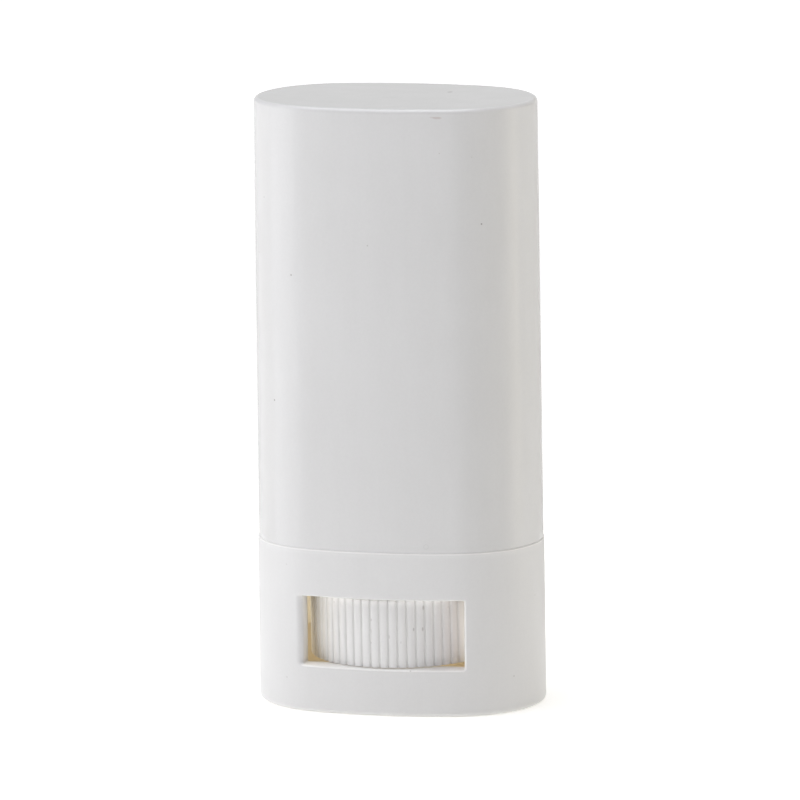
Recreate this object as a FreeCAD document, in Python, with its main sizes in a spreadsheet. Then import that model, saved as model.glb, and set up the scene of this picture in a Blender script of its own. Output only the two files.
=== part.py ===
# Oval twist-up stick container (thumbwheel type), empty.
#
# Frame: millimetres, +Z up, origin at the centre of the foot, X across the wide
# side of the oval, -Y the front. Five mouldings:
#   base_shell        lower shell with windows front and back
#   thumbwheel_screw  ribbed wheel, hub, journal and lead screw in one
#   barrel            product tube that plugs into the base
#   elevator          carrier cup that climbs the screw
#   outer_cap         pull-off overcap
#
# Every horizontal section of the shells is the same four-arc oval, moved inwards
# or outwards by a constant distance: two end arcs of radius r centred on the X
# axis, closed by a front and a back arc that are tangent to them.
import FreeCAD, Part
import math
import os
import Sketcher

DIMS = [
    # outline of the base at its upper rim
    ("base_half_width", 19.0), ("base_half_depth", 12.6), ("end_radius", 11.85),
    ("base_draft", 0.07), ("rim_height", 21.8), ("base_wall", 1.5),
    ("floor_top", 2.2), ("foot_recess", 0.8), ("foot_rim", 1.9),
    ("foot_round", 0.65), ("rim_round", 0.2),
    # windows, and the frame that stands inwards round each
    ("window_half_width", 10.85), ("window_bottom", 6.25), ("window_top", 15.5),
    ("window_round", 0.4), ("frame_thick", 1.0), ("frame_inner", 8.9),
    ("jamb_inner", 7.9), ("frame_back_side", 9.9), ("frame_back_mid", 11.8),
    # bearing post on the floor of the base
    ("seat_radius", 3.6), ("seat_top", 6.3), ("pin_radius", 1.9), ("pin_top", 11.0),
    ("post_bore", 0.9),
    # snap ring between base and barrel
    ("snap_low", 18.5), ("snap_high", 19.3), ("snap_depth", 0.3), ("snap_clear", 0.08),
    # barrel
    ("plug_clear", 0.05), ("plug_low", 16.75), ("plug_high", 21.5),
    ("barrel_inset", 1.75), ("barrel_draft", 0.3), ("barrel_top", 73.0),
    ("chamber_inset", 3.15), ("partition_low", 17.6), ("partition_top", 18.8),
    ("skirt_wall", 1.15), ("boss_radius", 5.6), ("leg_low", 8.1), ("leg_angle", 48.0),
    ("leg_wall", 1.1), ("leg_clear", 0.1), ("bead_low", 24.4), ("bead_high", 25.5),
    ("bead_out", 0.26), ("mouth_round", 0.45),
    # thumbwheel
    ("wheel_radius", 12.05), ("wheel_low", 6.35), ("wheel_high", 15.36),
    ("wheel_round", 0.2), ("wheel_inner", 10.4), ("web_low", 11.6), ("web_high", 12.8),
    ("rib_count", 62.0), ("rib_depth", 0.38), ("rib_gap", 0.10), ("rib_arc", 0.56),
    ("rib_phase", 4.22), ("hub_radius", 4.2), ("hub_bore", 2.0), ("hub_bore_top", 11.5),
    ("collar_radius", 4.9), ("collar_top", 16.6), ("journal_radius", 3.8),
    ("journal_clear", 0.1), ("journal_top", 19.2),
    # lead screw
    ("core_radius", 2.6), ("screw_top", 72.0), ("screw_tip", 0.8), ("thread_radius", 3.5),
    ("thread_pitch", 4.0), ("thread_start", 21.0), ("thread_length", 49.0),
    ("thread_root", 0.95), ("thread_crest", 0.45),
    # elevator
    ("cup_clear", 0.2), ("cup_low", 19.6), ("cup_top", 30.0), ("cup_wall", 0.9),
    ("plate_low", 22.4), ("plate_top", 23.6), ("sleeve_radius", 5.0),
    ("sleeve_bore", 3.65), ("lug_inner", 2.75), ("lug_half", 0.5), ("lug_span", 1.3),
    ("fin_half", 0.45), ("fin_top", 28.4),
    # overcap
    ("cap_inset", 0.1), ("cap_draft", 0.22), ("total_height", 80.0), ("seam_gap", 0.05),
    ("cap_round", 0.6), ("cap_wall", 1.3), ("cap_roof", 1.4), ("cap_inner_draft", 0.3),
    ("cap_lip", 0.06), ("cap_inner_round", 0.7),
]

doc = FreeCAD.newDocument("stick_container")
sheet = doc.addObject("Spreadsheet::Sheet", "dims")
VAL = {}
for row, (name, value) in enumerate(DIMS, start=1):
    sheet.set("A%d" % row, name)
    sheet.set("B%d" % row, repr(float(value)))
    sheet.setAlias("B%d" % row, name)
    VAL[name] = float(value)
doc.recompute()


class Dim:
    """A number together with the sheet expression that gives it."""

    def __init__(self, value, text):
        self.v = float(value)
        self.t = text

    @staticmethod
    def of(x):
        return x if isinstance(x, Dim) else Dim(x, repr(float(x)))

    def _op(self, other, sign, value, flip=False):
        other = Dim.of(other)
        a, b = (other, self) if flip else (self, other)
        return Dim(value(a.v, b.v), "(%s %s %s)" % (a.t, sign, b.t))

    def __add__(self, o): return self._op(o, "+", lambda a, b: a + b)
    def __radd__(self, o): return self._op(o, "+", lambda a, b: a + b, True)
    def __sub__(self, o): return self._op(o, "-", lambda a, b: a - b)
    def __rsub__(self, o): return self._op(o, "-", lambda a, b: a - b, True)
    def __mul__(self, o): return self._op(o, "*", lambda a, b: a * b)
    def __rmul__(self, o): return self._op(o, "*", lambda a, b: a * b, True)
    def __truediv__(self, o): return self._op(o, "/", lambda a, b: a / b)
    def __neg__(self): return Dim(-self.v, "(0 - %s)" % self.t)


def D(name):
    return Dim(VAL[name], "dims." + name)


def trig(kind, x):
    x = Dim.of(x)
    if kind == "atan":
        return Dim(math.degrees(math.atan(x.v)), "atan(%s)" % x.t)
    fn = {"sin": math.sin, "cos": math.cos}[kind]
    return Dim(fn(math.radians(x.v)), "%s(%s * 1 deg)" % (kind, x.t))


# ------------------------------------------------------------------ sketching
def new_body(label):
    body = doc.addObject("PartDesign::Body", label)
    body.Label = label
    return body


def new_sketch(body, name, role="XY_Plane", offset=None):
    sk = body.newObject("Sketcher::SketchObject", name)
    plane = [f for f in body.Origin.OriginFeatures if f.Role == role][0]
    sk.AttachmentSupport = [(plane, "")]
    sk.MapMode = "FlatFace"
    if offset is not None:
        offset = Dim.of(offset)
        sk.AttachmentOffset = FreeCAD.Placement(FreeCAD.Vector(0, 0, offset.v),
                                                FreeCAD.Rotation())
        sk.setExpression("AttachmentOffset.Base.z", offset.t)
    return sk


def bind(sk, kind, args, value):
    """A dimensional constraint driven by the sheet."""
    value = Dim.of(value)
    i = sk.addConstraint(Sketcher.Constraint(kind, *args, value.v))
    sk.setExpression("Constraints[%d]" % i, value.t)


def pin(sk, geo, pos, x, y):
    """Fix one point of the sketch at (x, y)."""
    x, y = Dim.of(x), Dim.of(y)
    if abs(x.v) < 1e-9:
        sk.addConstraint(Sketcher.Constraint("PointOnObject", geo, pos, -2))
    else:
        bind(sk, "DistanceX", (-1, 1, geo, pos), x)
    if abs(y.v) < 1e-9:
        sk.addConstraint(Sketcher.Constraint("PointOnObject", geo, pos, -1))
    else:
        bind(sk, "DistanceY", (-1, 1, geo, pos), y)


def polygon(sk, pts):
    n, first = len(pts), sk.GeometryCount
    vec = [FreeCAD.Vector(Dim.of(x).v, Dim.of(y).v, 0) for x, y in pts]
    for i in range(n):
        sk.addGeometry(Part.LineSegment(vec[i], vec[(i + 1) % n]), False)
    for i in range(n):
        sk.addConstraint(Sketcher.Constraint("Coincident", first + i, 2,
                                             first + (i + 1) % n, 1))
    for i, (x, y) in enumerate(pts):
        pin(sk, first + i, 1, x, y)


def rectangle(sk, x0, y0, x1, y1):
    polygon(sk, [(x0, y0), (x1, y0), (x1, y1), (x0, y1)])


def circle(sk, radius, x=0, y=0):
    radius = Dim.of(radius)
    x, y = Dim.of(x), Dim.of(y)
    g = sk.addGeometry(Part.Circle(FreeCAD.Vector(x.v, y.v, 0), FreeCAD.Vector(0, 0, 1),
                                   radius.v), False)
    if abs(x.v) < 1e-9 and abs(y.v) < 1e-9:
        sk.addConstraint(Sketcher.Constraint("Coincident", g, 3, -1, 1))
    else:
        pin(sk, g, 3, x, y)
    bind(sk, "Radius", (g,), radius)


def arc(sk, cx, cy, r, a0, a1):
    return sk.addGeometry(Part.ArcOfCircle(
        Part.Circle(FreeCAD.Vector(cx, cy, 0), FreeCAD.Vector(0, 0, 1), r), a0, a1), False)


def oval(sk, inset):
    """The four-arc outline, moved inwards from the base rim by inset."""
    inset = Dim.of(inset)
    a, b, r = (D("base_half_width") - inset, D("base_half_depth") - inset,
               D("end_radius") - inset)
    ex = D("base_half_width") - D("end_radius")
    big = (ex * ex + b * b - r * r) / (2 * (b - r))
    tx = ex * big / (big - r)
    ty = r * (big - b) / (big - r)
    fi = math.atan2(big.v - b.v, ex.v)
    g0 = arc(sk, ex.v, 0, r.v, -fi, fi)
    g1 = arc(sk, 0, b.v - big.v, big.v, fi, math.pi - fi)
    g2 = arc(sk, -ex.v, 0, r.v, math.pi - fi, math.pi + fi)
    g3 = arc(sk, 0, big.v - b.v, big.v, math.pi + fi, 2 * math.pi - fi)
    for g, h in ((g0, g1), (g1, g2), (g2, g3), (g3, g0)):
        sk.addConstraint(Sketcher.Constraint("Coincident", g, 2, h, 1))
    pin(sk, g0, 2, tx, ty)
    sk.addConstraint(Sketcher.Constraint("Symmetric", g0, 1, g0, 2, -1))
    sk.addConstraint(Sketcher.Constraint("Symmetric", g0, 2, g2, 1, -2))
    sk.addConstraint(Sketcher.Constraint("Symmetric", g0, 1, g2, 2, -2))
    bind(sk, "Radius", (g0,), r)
    bind(sk, "Radius", (g1,), big)
    sk.addConstraint(Sketcher.Constraint("Equal", g0, g2))
    sk.addConstraint(Sketcher.Constraint("Equal", g1, g3))


# ------------------------------------------------------------------- features
def drive(obj, prop, value):
    value = Dim.of(value)
    setattr(obj, prop, value.v)
    obj.setExpression(prop, value.t)


def pad(body, name, sk, length, taper=None, down=False):
    f = body.newObject("PartDesign::Pad", name)
    f.Profile = sk
    drive(f, "Length", length)
    f.Reversed = down
    if taper is not None:
        drive(f, "TaperAngle", taper)
    sk.Visibility = False
    return f


def pocket(body, name, sk, length, up=False, taper=None):
    """Cuts down from the sketch (against its normal), or up when asked."""
    f = body.newObject("PartDesign::Pocket", name)
    f.Profile = sk
    drive(f, "Length", length)
    f.Reversed = up
    if taper is not None:
        drive(f, "TaperAngle", taper)
    sk.Visibility = False
    return f


def edges_where(feature, test):
    names = []
    for i, e in enumerate(feature.Shape.Edges, start=1):
        u0, u1 = e.ParameterRange
        pts = [e.valueAt(u0 + (u1 - u0) * k / 6.0) for k in range(7)]
        if test(pts):
            names.append("Edge%d" % i)
    if not names:
        raise RuntimeError("no edge found on " + feature.Name)
    return names


def fillet(body, name, radius, test):
    doc.recompute()
    base = body.Tip
    f = body.newObject("PartDesign::Fillet", name)
    f.Base = (base, edges_where(base, test))
    drive(f, "Radius", radius)
    doc.recompute()
    return f


def at_z(z, tol=0.02):
    return lambda pts: all(abs(p.z - z) < tol for p in pts)


def outside(p, inset):
    """True when a point lies outside the oval that is inset from the base rim."""
    a, b, r = (VAL["base_half_width"] - inset, VAL["base_half_depth"] - inset,
               VAL["end_radius"] - inset)
    ex = VAL["base_half_width"] - VAL["end_radius"]
    big = (ex * ex + b * b - r * r) / (2 * (b - r))
    tx = ex * big / (big - r)
    x, y = abs(p.x), abs(p.y)
    if x > tx:
        return math.hypot(x - ex, y) > r
    return math.hypot(x, y + big - b) > big


# ================================================================= base shell
base = new_body("base_shell")
sk = new_sketch(base, "base_outline", offset=0)
oval(sk, -D("base_draft"))
pad(base, "base_block", sk, D("rim_height"),
    taper=trig("atan", -D("base_draft") / D("rim_height")))
fillet(base, "base_foot_round", D("foot_round"), at_z(0.0))
fillet(base, "base_rim_round", D("rim_round"), at_z(VAL["rim_height"]))
sk = new_sketch(base, "base_cavity_outline", offset=D("rim_height"))
oval(sk, D("base_wall"))
pocket(base, "base_cavity", sk, D("rim_height") - D("floor_top"))
sk = new_sketch(base, "snap_groove_outline", offset=D("snap_high"))
oval(sk, D("base_wall") - D("snap_depth"))
pocket(base, "snap_groove", sk, D("snap_high") - D("snap_low"))
sk = new_sketch(base, "foot_recess_outline", offset=0)
oval(sk, D("foot_rim"))
pocket(base, "foot_recess_cut", sk, D("foot_recess"), up=True)
# frames round the two windows: a block behind the wall, opened by the window cut
fw = D("window_half_width") + D("frame_thick")
fh = D("window_top") - D("window_bottom") + 2 * D("frame_thick")
for side, name in ((-1, "front"), (1, "back")):
    sk = new_sketch(base, "frame_block_" + name,
                    offset=D("window_bottom") - D("frame_thick"))
    y0, y1, y2 = side * D("frame_inner"), side * D("frame_back_side"), side * D("frame_back_mid")
    g = sk.addGeometry(Part.LineSegment(FreeCAD.Vector(-fw.v, y0.v, 0),
                                        FreeCAD.Vector(fw.v, y0.v, 0)), False)
    g2 = sk.addGeometry(Part.LineSegment(FreeCAD.Vector(fw.v, y0.v, 0),
                                         FreeCAD.Vector(fw.v, y1.v, 0)), False)
    g3 = sk.addGeometry(Part.LineSegment(FreeCAD.Vector(-fw.v, y0.v, 0),
                                         FreeCAD.Vector(-fw.v, y1.v, 0)), False)
    bow = abs(y2.v) - abs(y1.v)
    rr = (fw.v ** 2 + bow ** 2) / (2 * bow)
    cy = side * (abs(y2.v) - rr)
    half = math.asin(fw.v / rr)
    mid = side * math.pi / 2
    g4 = arc(sk, 0, cy, rr, mid - half, mid + half)
    # the arc runs counter-clockwise: its start is on the right at the back
    # (+Y) and on the left at the front (-Y)
    start, end = (g2, g3) if side > 0 else (g3, g2)
    sk.addConstraint(Sketcher.Constraint("Coincident", g, 2, g2, 1))
    sk.addConstraint(Sketcher.Constraint("Coincident", g, 1, g3, 1))
    sk.addConstraint(Sketcher.Constraint("Coincident", g4, 1, start, 2))
    sk.addConstraint(Sketcher.Constraint("Coincident", g4, 2, end, 2))
    pin(sk, g, 1, -fw, y0)
    pin(sk, g, 2, fw, y0)
    pin(sk, g2, 2, fw, y1)
    pin(sk, g3, 2, -fw, y1)
    dr = D("frame_back_mid") - D("frame_back_side")
    bind(sk, "Radius", (g4,), (fw * fw + dr * dr) / (2 * dr))
    pad(base, "window_frame_" + name, sk, fh)
    # the frame's side cheeks reach a little further in than its sill and head
    for hand, tag in ((-1, "left"), (1, "right")):
        sk = new_sketch(base, "cheek_%s_%s" % (name, tag),
                        offset=D("window_bottom") - D("frame_thick"))
        rectangle(sk, hand * D("window_half_width"), side * D("jamb_inner"),
                  hand * fw, side * (D("frame_inner") + 0.4))
        pad(base, "window_cheek_%s_%s" % (name, tag), sk, fh)
# window opening, right through front and back
sk = new_sketch(base, "window_outline", role="XZ_Plane")
rectangle(sk, -D("window_half_width"), D("window_bottom"),
          D("window_half_width"), D("window_top"))
for up, nm in ((False, "window_back"), (True, "window_front")):
    pocket(base, nm, sk, D("base_half_depth") + 2.0, up=up)
# the floor's bearing post: a seat for the hub and a pin inside it
sk = new_sketch(base, "seat_outline", offset=D("floor_top") - 0.3)
circle(sk, D("seat_radius"))
pad(base, "hub_seat", sk, D("seat_top") - D("floor_top") + 0.3)
sk = new_sketch(base, "pin_outline", offset=D("seat_top") - 0.3)
circle(sk, D("pin_radius"))
pad(base, "hub_pin", sk, D("pin_top") - D("seat_top") + 0.3)
# the post is cored from below, as a moulded post is
sk = new_sketch(base, "post_core_outline", offset=0)
circle(sk, D("post_bore"))
pocket(base, "post_core", sk, D("pin_top") - 1.2, up=True)
doc.recompute()


def window_edge(pts):
    zlo, zhi, w = VAL["window_bottom"], VAL["window_top"], VAL["window_half_width"]
    flat = all(abs(p.z - zlo) < 0.01 for p in pts) or all(abs(p.z - zhi) < 0.01 for p in pts)
    post = all(abs(abs(p.x) - w) < 0.01 for p in pts) and all(
        zlo - 0.01 <= p.z <= zhi + 0.01 for p in pts)
    inside = all(abs(p.x) < w + 0.01 for p in pts)
    return (flat or post) and inside and all(outside(p, 0.2) for p in pts)


fillet(base, "window_round_edge", D("window_round"), window_edge)

# ================================================ thumbwheel, hub and lead screw
wheel = new_body("thumbwheel_screw")
sk = new_sketch(wheel, "wheel_profile", role="XZ_Plane")
polygon(sk, [
    (D("hub_bore"), D("wheel_low")), (D("hub_radius"), D("wheel_low")),
    (D("hub_radius"), D("web_low")), (D("wheel_inner"), D("web_low")),
    (D("wheel_inner"), D("wheel_low")), (D("wheel_radius"), D("wheel_low")),
    (D("wheel_radius"), D("wheel_high")), (D("wheel_inner"), D("wheel_high")),
    (D("wheel_inner"), D("web_high")), (D("collar_radius"), D("web_high")),
    (D("collar_radius"), D("collar_top")), (D("journal_radius"), D("collar_top")),
    (D("journal_radius"), D("journal_top")), (D("core_radius"), D("journal_top")),
    (D("core_radius"), D("screw_top") - D("screw_tip")),
    (D("core_radius") - D("screw_tip"), D("screw_top")), (0, D("screw_top")),
    (0, D("hub_bore_top")), (D("hub_bore"), D("hub_bore_top"))])
rev = wheel.newObject("PartDesign::Revolution", "wheel_turning")
rev.Profile = sk
rev.ReferenceAxis = (sk, ["V_Axis"])
rev.Angle = 360
sk.Visibility = False
fillet(wheel, "wheel_rim_round", D("wheel_round"),
       lambda pts: all(abs(math.hypot(p.x, p.y) - VAL["wheel_radius"]) < 0.01 for p in pts)
       and (at_z(VAL["wheel_low"])(pts) or at_z(VAL["wheel_high"])(pts)))
fillet(wheel, "wheel_inner_round", 0.3,
       lambda pts: all(abs(math.hypot(p.x, p.y) - VAL["wheel_inner"]) < 0.01 for p in pts)
       and (at_z(VAL["wheel_low"])(pts) or at_z(VAL["wheel_high"])(pts)))

# one groove between two rounded ribs, turned to its place on the rim: its walls
# are the flanks of the two neighbouring rib arcs, its floor is a narrow flat
pitch = 360.0 / VAL["rib_count"]
rc = D("wheel_radius") - D("rib_arc")                      # rib arc centres
half_pitch = Dim.of(180) / D("rib_count")
sk = new_sketch(wheel, "groove_outline")
ang = -90.0 + VAL["rib_phase"]
ux, uy = (trig("cos", -90 + D("rib_phase")), trig("sin", -90 + D("rib_phase")))
vx, vy = -uy, ux                                           # sideways direction


def along(r, s):
    """Point at radius r, displaced sideways by s, in the groove's own frame."""
    r, s = Dim.of(r), Dim.of(s)
    return r * ux + s * vx, r * uy + s * vy


sp, cp = trig("sin", half_pitch), trig("cos", half_pitch)
floor_r = D("wheel_radius") - D("rib_depth")
g_half = D("rib_gap") / 2
top_r = D("wheel_radius") * cp
top_s = D("wheel_radius") * sp
lift = D("wheel_radius") + 0.6
pts = {
    "fl": along(floor_r, -g_half), "fr": along(floor_r, g_half),
    "tr": along(top_r, top_s), "or": along(lift, top_s),
    "ol": along(lift, -top_s), "tl": along(top_r, -top_s)}


def vec(p):
    return FreeCAD.Vector(p[0].v, p[1].v, 0)


def arc_about(p, q, centre_side):
    """Arc of the rib radius through p and q, on the rib's outer side."""
    a, b = vec(p), vec(q)
    r = VAL["rib_arc"]
    m = (a + b) * 0.5
    d = b.sub(a)
    h = math.sqrt(max(r * r - d.Length ** 2 / 4, 0))
    n = FreeCAD.Vector(-d.y, d.x, 0).normalize()
    c = m + n * (h * centre_side)
    a0 = math.atan2(a.y - c.y, a.x - c.x)
    a1 = math.atan2(b.y - c.y, b.x - c.x)
    return c, a0, a1


def rib_flank(p, q, side):
    c, a0, a1 = arc_about(p, q, side)
    while a1 < a0:
        a1 += 2 * math.pi
    if a1 - a0 > math.pi:                                   # take the short way
        a0, a1 = a1 - 2 * math.pi, a0
        flipped = True
    else:
        flipped = False
    g = arc(sk, c.x, c.y, VAL["rib_arc"], a0, a1)
    return g, ((2, 1) if flipped else (1, 2))


g_fl = sk.addGeometry(Part.LineSegment(vec(pts["fl"]), vec(pts["fr"])), False)
g_r, (rs, re) = rib_flank(pts["fr"], pts["tr"], -1)
g_or = sk.addGeometry(Part.LineSegment(vec(pts["tr"]), vec(pts["or"])), False)
g_o = sk.addGeometry(Part.LineSegment(vec(pts["or"]), vec(pts["ol"])), False)
g_ol = sk.addGeometry(Part.LineSegment(vec(pts["ol"]), vec(pts["tl"])), False)
g_l, (ls, le) = rib_flank(pts["tl"], pts["fl"], -1)
for a, pa, b, pb in ((g_fl, 2, g_r, rs), (g_r, re, g_or, 1), (g_or, 2, g_o, 1),
                     (g_o, 2, g_ol, 1), (g_ol, 2, g_l, ls), (g_l, le, g_fl, 1)):
    sk.addConstraint(Sketcher.Constraint("Coincident", a, pa, b, pb))
pin(sk, g_fl, 1, *pts["fl"])
pin(sk, g_fl, 2, *pts["fr"])
pin(sk, g_or, 1, *pts["tr"])
pin(sk, g_or, 2, *pts["or"])
pin(sk, g_o, 2, *pts["ol"])
pin(sk, g_ol, 2, *pts["tl"])
bind(sk, "Radius", (g_r,), D("rib_arc"))
bind(sk, "Radius", (g_l,), D("rib_arc"))
groove = pocket(wheel, "rim_groove", sk, D("wheel_high") + 1.0, up=True)
doc.recompute()
before = groove.BaseFeature.Shape.Volume
if not groove.Shape.Volume < before - 0.5:
    raise RuntimeError("the rim groove cut nothing")
ribs = wheel.newObject("PartDesign::PolarPattern", "rim_ribs")
ribs.Originals = [groove]
ribs.Axis = (sk, ["N_Axis"])
ribs.Angle = 360
ribs.Occurrences = int(VAL["rib_count"])
ribs.setExpression("Occurrences", "dims.rib_count")
wheel.Tip = ribs
doc.recompute()
# lead screw: one right-hand start
sk = new_sketch(wheel, "thread_profile", role="XZ_Plane")
zs = D("thread_start")
polygon(sk, [(D("core_radius") - 0.15, zs - D("thread_root")),
             (D("thread_radius"), zs - D("thread_crest")),
             (D("thread_radius"), zs + D("thread_crest")),
             (D("core_radius") - 0.15, zs + D("thread_root"))])
thread = wheel.newObject("PartDesign::AdditiveHelix", "lead_thread")
thread.Profile = sk
thread.ReferenceAxis = (sk, ["V_Axis"])
thread.Mode = "pitch-height-angle"
drive(thread, "Pitch", D("thread_pitch"))
drive(thread, "Height", D("thread_length"))
thread.LeftHanded = False
sk.Visibility = False
doc.recompute()

# ====================================================================== barrel
barrel = new_body("barrel")
sk = new_sketch(barrel, "plug_outline", offset=D("plug_low"))
oval(sk, D("base_wall") + D("plug_clear"))
pad(barrel, "plug", sk, D("plug_high") - D("plug_low"))
sk = new_sketch(barrel, "tube_outline", offset=D("plug_high") - 0.5)
oval(sk, D("barrel_inset"))
pad(barrel, "tube", sk, D("barrel_top") - D("plug_high") + 0.5,
    taper=trig("atan", -D("barrel_draft") / (D("barrel_top") - D("plug_high") + 0.5)))
fillet(barrel, "mouth_outer_round", D("mouth_round"), at_z(VAL["barrel_top"]))
sk = new_sketch(barrel, "snap_ring_outline", offset=D("snap_low") + 0.1)
oval(sk, D("base_wall") - D("snap_depth") + D("snap_clear"))
pad(barrel, "snap_ring", sk, D("snap_high") - D("snap_low") - 0.2)
sk = new_sketch(barrel, "cap_bead_outline", offset=D("bead_low"))
oval(sk, D("barrel_inset") - D("bead_out"))
pad(barrel, "cap_bead", sk, D("bead_high") - D("bead_low"))
fillet(barrel, "cap_bead_round", 0.24,
       lambda pts: (at_z(VAL["bead_low"])(pts) or at_z(VAL["bead_high"])(pts))
       and all(outside(p, VAL["barrel_inset"] - 0.1) for p in pts))
sk = new_sketch(barrel, "chamber_outline", offset=D("barrel_top"))
oval(sk, D("chamber_inset"))
pocket(barrel, "chamber", sk, D("barrel_top") - D("partition_top"))
sk = new_sketch(barrel, "underside_outline", offset=D("plug_low"))
oval(sk, D("base_wall") + D("plug_clear") + D("skirt_wall"))
circle(sk, D("boss_radius"))
pocket(barrel, "underside", sk, D("partition_low") - D("plug_low"), up=True)
sk = new_sketch(barrel, "journal_hole_outline", offset=D("partition_top"))
circle(sk, D("journal_radius") + D("journal_clear"))
pocket(barrel, "journal_hole", sk, D("partition_top") - D("plug_low") + 1.0)
# two skirt legs that stand along the inside of the base's rounded ends
ex = D("base_half_width") - D("end_radius")
ro = D("end_radius") - D("base_wall") - D("leg_clear")
ri = ro - D("leg_wall")
ca, sa = trig("cos", D("leg_angle")), trig("sin", D("leg_angle"))
for hand, tag in ((1, "right"), (-1, "left")):
    sk = new_sketch(barrel, "leg_outline_" + tag, offset=D("partition_low"))
    w = math.radians(VAL["leg_angle"])
    mid = 0.0 if hand > 0 else math.pi
    go = arc(sk, hand * ex.v, 0, ro.v, mid - w, mid + w)
    gi = arc(sk, hand * ex.v, 0, ri.v, mid - w, mid + w)
    p = {}
    for key, rad in (("o", ro), ("i", ri)):
        p[key] = (hand * (ex + rad * ca), rad * sa)
    lo, hi = (-1, 1) if hand > 0 else (1, -1)
    g1 = sk.addGeometry(Part.LineSegment(
        FreeCAD.Vector(p["i"][0].v, lo * p["i"][1].v, 0),
        FreeCAD.Vector(p["o"][0].v, lo * p["o"][1].v, 0)), False)
    g2 = sk.addGeometry(Part.LineSegment(
        FreeCAD.Vector(p["o"][0].v, hi * p["o"][1].v, 0),
        FreeCAD.Vector(p["i"][0].v, hi * p["i"][1].v, 0)), False)
    for a, pa, b, pb in ((g1, 2, go, 1), (go, 2, g2, 1), (g2, 2, gi, 2), (gi, 1, g1, 1)):
        sk.addConstraint(Sketcher.Constraint("Coincident", a, pa, b, pb))
    pin(sk, g1, 1, p["i"][0], lo * p["i"][1])
    pin(sk, g1, 2, p["o"][0], lo * p["o"][1])
    pin(sk, g2, 1, p["o"][0], hi * p["o"][1])
    pin(sk, g2, 2, p["i"][0], hi * p["i"][1])
    bind(sk, "Radius", (go,), ro)
    bind(sk, "Radius", (gi,), ri)
    pad(barrel, "skirt_leg_" + tag, sk, D("partition_low") - D("leg_low"), down=True)
fillet(barrel, "mouth_inner_round", 0.3,
       lambda pts: at_z(VAL["barrel_top"])(pts)
       and all(not outside(p, VAL["chamber_inset"] - 0.05) for p in pts))

# ==================================================================== elevator
lift_cup = new_body("elevator")
wall_in = D("chamber_inset") + D("cup_clear")
sk = new_sketch(lift_cup, "cup_outline", offset=D("cup_low"))
oval(sk, wall_in)
pad(lift_cup, "cup_block", sk, D("cup_top") - D("cup_low"))
fillet(lift_cup, "cup_edges", 0.25, lambda pts: at_z(VAL["cup_low"])(pts) or at_z(VAL["cup_top"])(pts))
# product side: open ring between the wall and the screw sleeve, with four fins
sk = new_sketch(lift_cup, "cup_inside_outline", offset=D("cup_top"))
oval(sk, wall_in + D("cup_wall"))
circle(sk, D("sleeve_radius"))
pocket(lift_cup, "cup_inside", sk, D("cup_top") - D("plate_top"))
sk = new_sketch(lift_cup, "cup_under_outline", offset=D("cup_low"))
oval(sk, wall_in + D("cup_wall"))
circle(sk, D("sleeve_radius"))
pocket(lift_cup, "cup_under", sk, D("plate_low") - D("cup_low"), up=True)
fx0 = D("sleeve_radius") - 0.3
for tag, hx, hy in (("right", 1, 0), ("left", -1, 0), ("back", 0, 1), ("front", 0, -1)):
    sk = new_sketch(lift_cup, "fin_outline_" + tag, offset=D("plate_top") - 0.2)
    if hx:
        far = D("base_half_width") - wall_in - D("cup_wall") / 2
        rectangle(sk, hx * fx0, -D("fin_half"), hx * far, D("fin_half"))
    else:
        far = D("base_half_depth") - wall_in - D("cup_wall") / 2
        rectangle(sk, -D("fin_half"), hy * fx0, D("fin_half"), hy * far)
    pad(lift_cup, "holding_fin_" + tag, sk, D("fin_top") - D("plate_top") + 0.2)
sk = new_sketch(lift_cup, "sleeve_bore_outline", offset=D("cup_top"))
circle(sk, D("sleeve_bore"))
pocket(lift_cup, "sleeve_bore_cut", sk, D("cup_top") - D("cup_low") + 1.0)
# two nut lugs that stand between the thread's turns
for tag, side, level in (("back", 1, D("thread_start") + 0.75 * D("thread_pitch")),
                         ("front", -1, D("thread_start") + 1.25 * D("thread_pitch"))):
    sk = new_sketch(lift_cup, "lug_outline_" + tag, offset=level - D("lug_half"))
    rectangle(sk, -D("lug_span"), side * D("lug_inner"), D("lug_span"),
              side * (D("sleeve_bore") + 0.4))
    pad(lift_cup, "nut_lug_" + tag, sk, 2 * D("lug_half"))
doc.recompute()

# ===================================================================== overcap
cap = new_body("outer_cap")
mouth = D("rim_height") + D("seam_gap")
tall = D("total_height") - mouth
sk = new_sketch(cap, "cap_outline", offset=mouth)
oval(sk, D("cap_inset"))
pad(cap, "cap_block", sk, tall, taper=trig("atan", -D("cap_draft") / tall))
fillet(cap, "cap_top_round", D("cap_round"), at_z(VAL["total_height"]))
deep = tall - D("cap_roof")
sk = new_sketch(cap, "cap_inside_outline", offset=mouth)
oval(sk, D("cap_inset") + D("cap_wall"))
inside = pocket(cap, "cap_inside", sk, deep, up=True,
                taper=trig("atan", -D("cap_inner_draft") / deep))
fillet(cap, "cap_inside_round", D("cap_inner_round"),
       at_z(VAL["total_height"] - VAL["cap_roof"]))
fillet(cap, "cap_lip_round", D("cap_lip"), at_z(VAL["rim_height"] + VAL["seam_gap"]))

# ====================================================================== checks
doc.recompute()
for obj in doc.Objects:
    bad = [s for s in obj.State if s in ("Invalid", "Error")]
    if bad:
        raise RuntimeError("%s is %s" % (obj.Name, bad))
    if obj.isDerivedFrom("Sketcher::SketchObject") and obj.solve() != 0:
        raise RuntimeError("sketch %s doesn't solve" % obj.Name)

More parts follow.
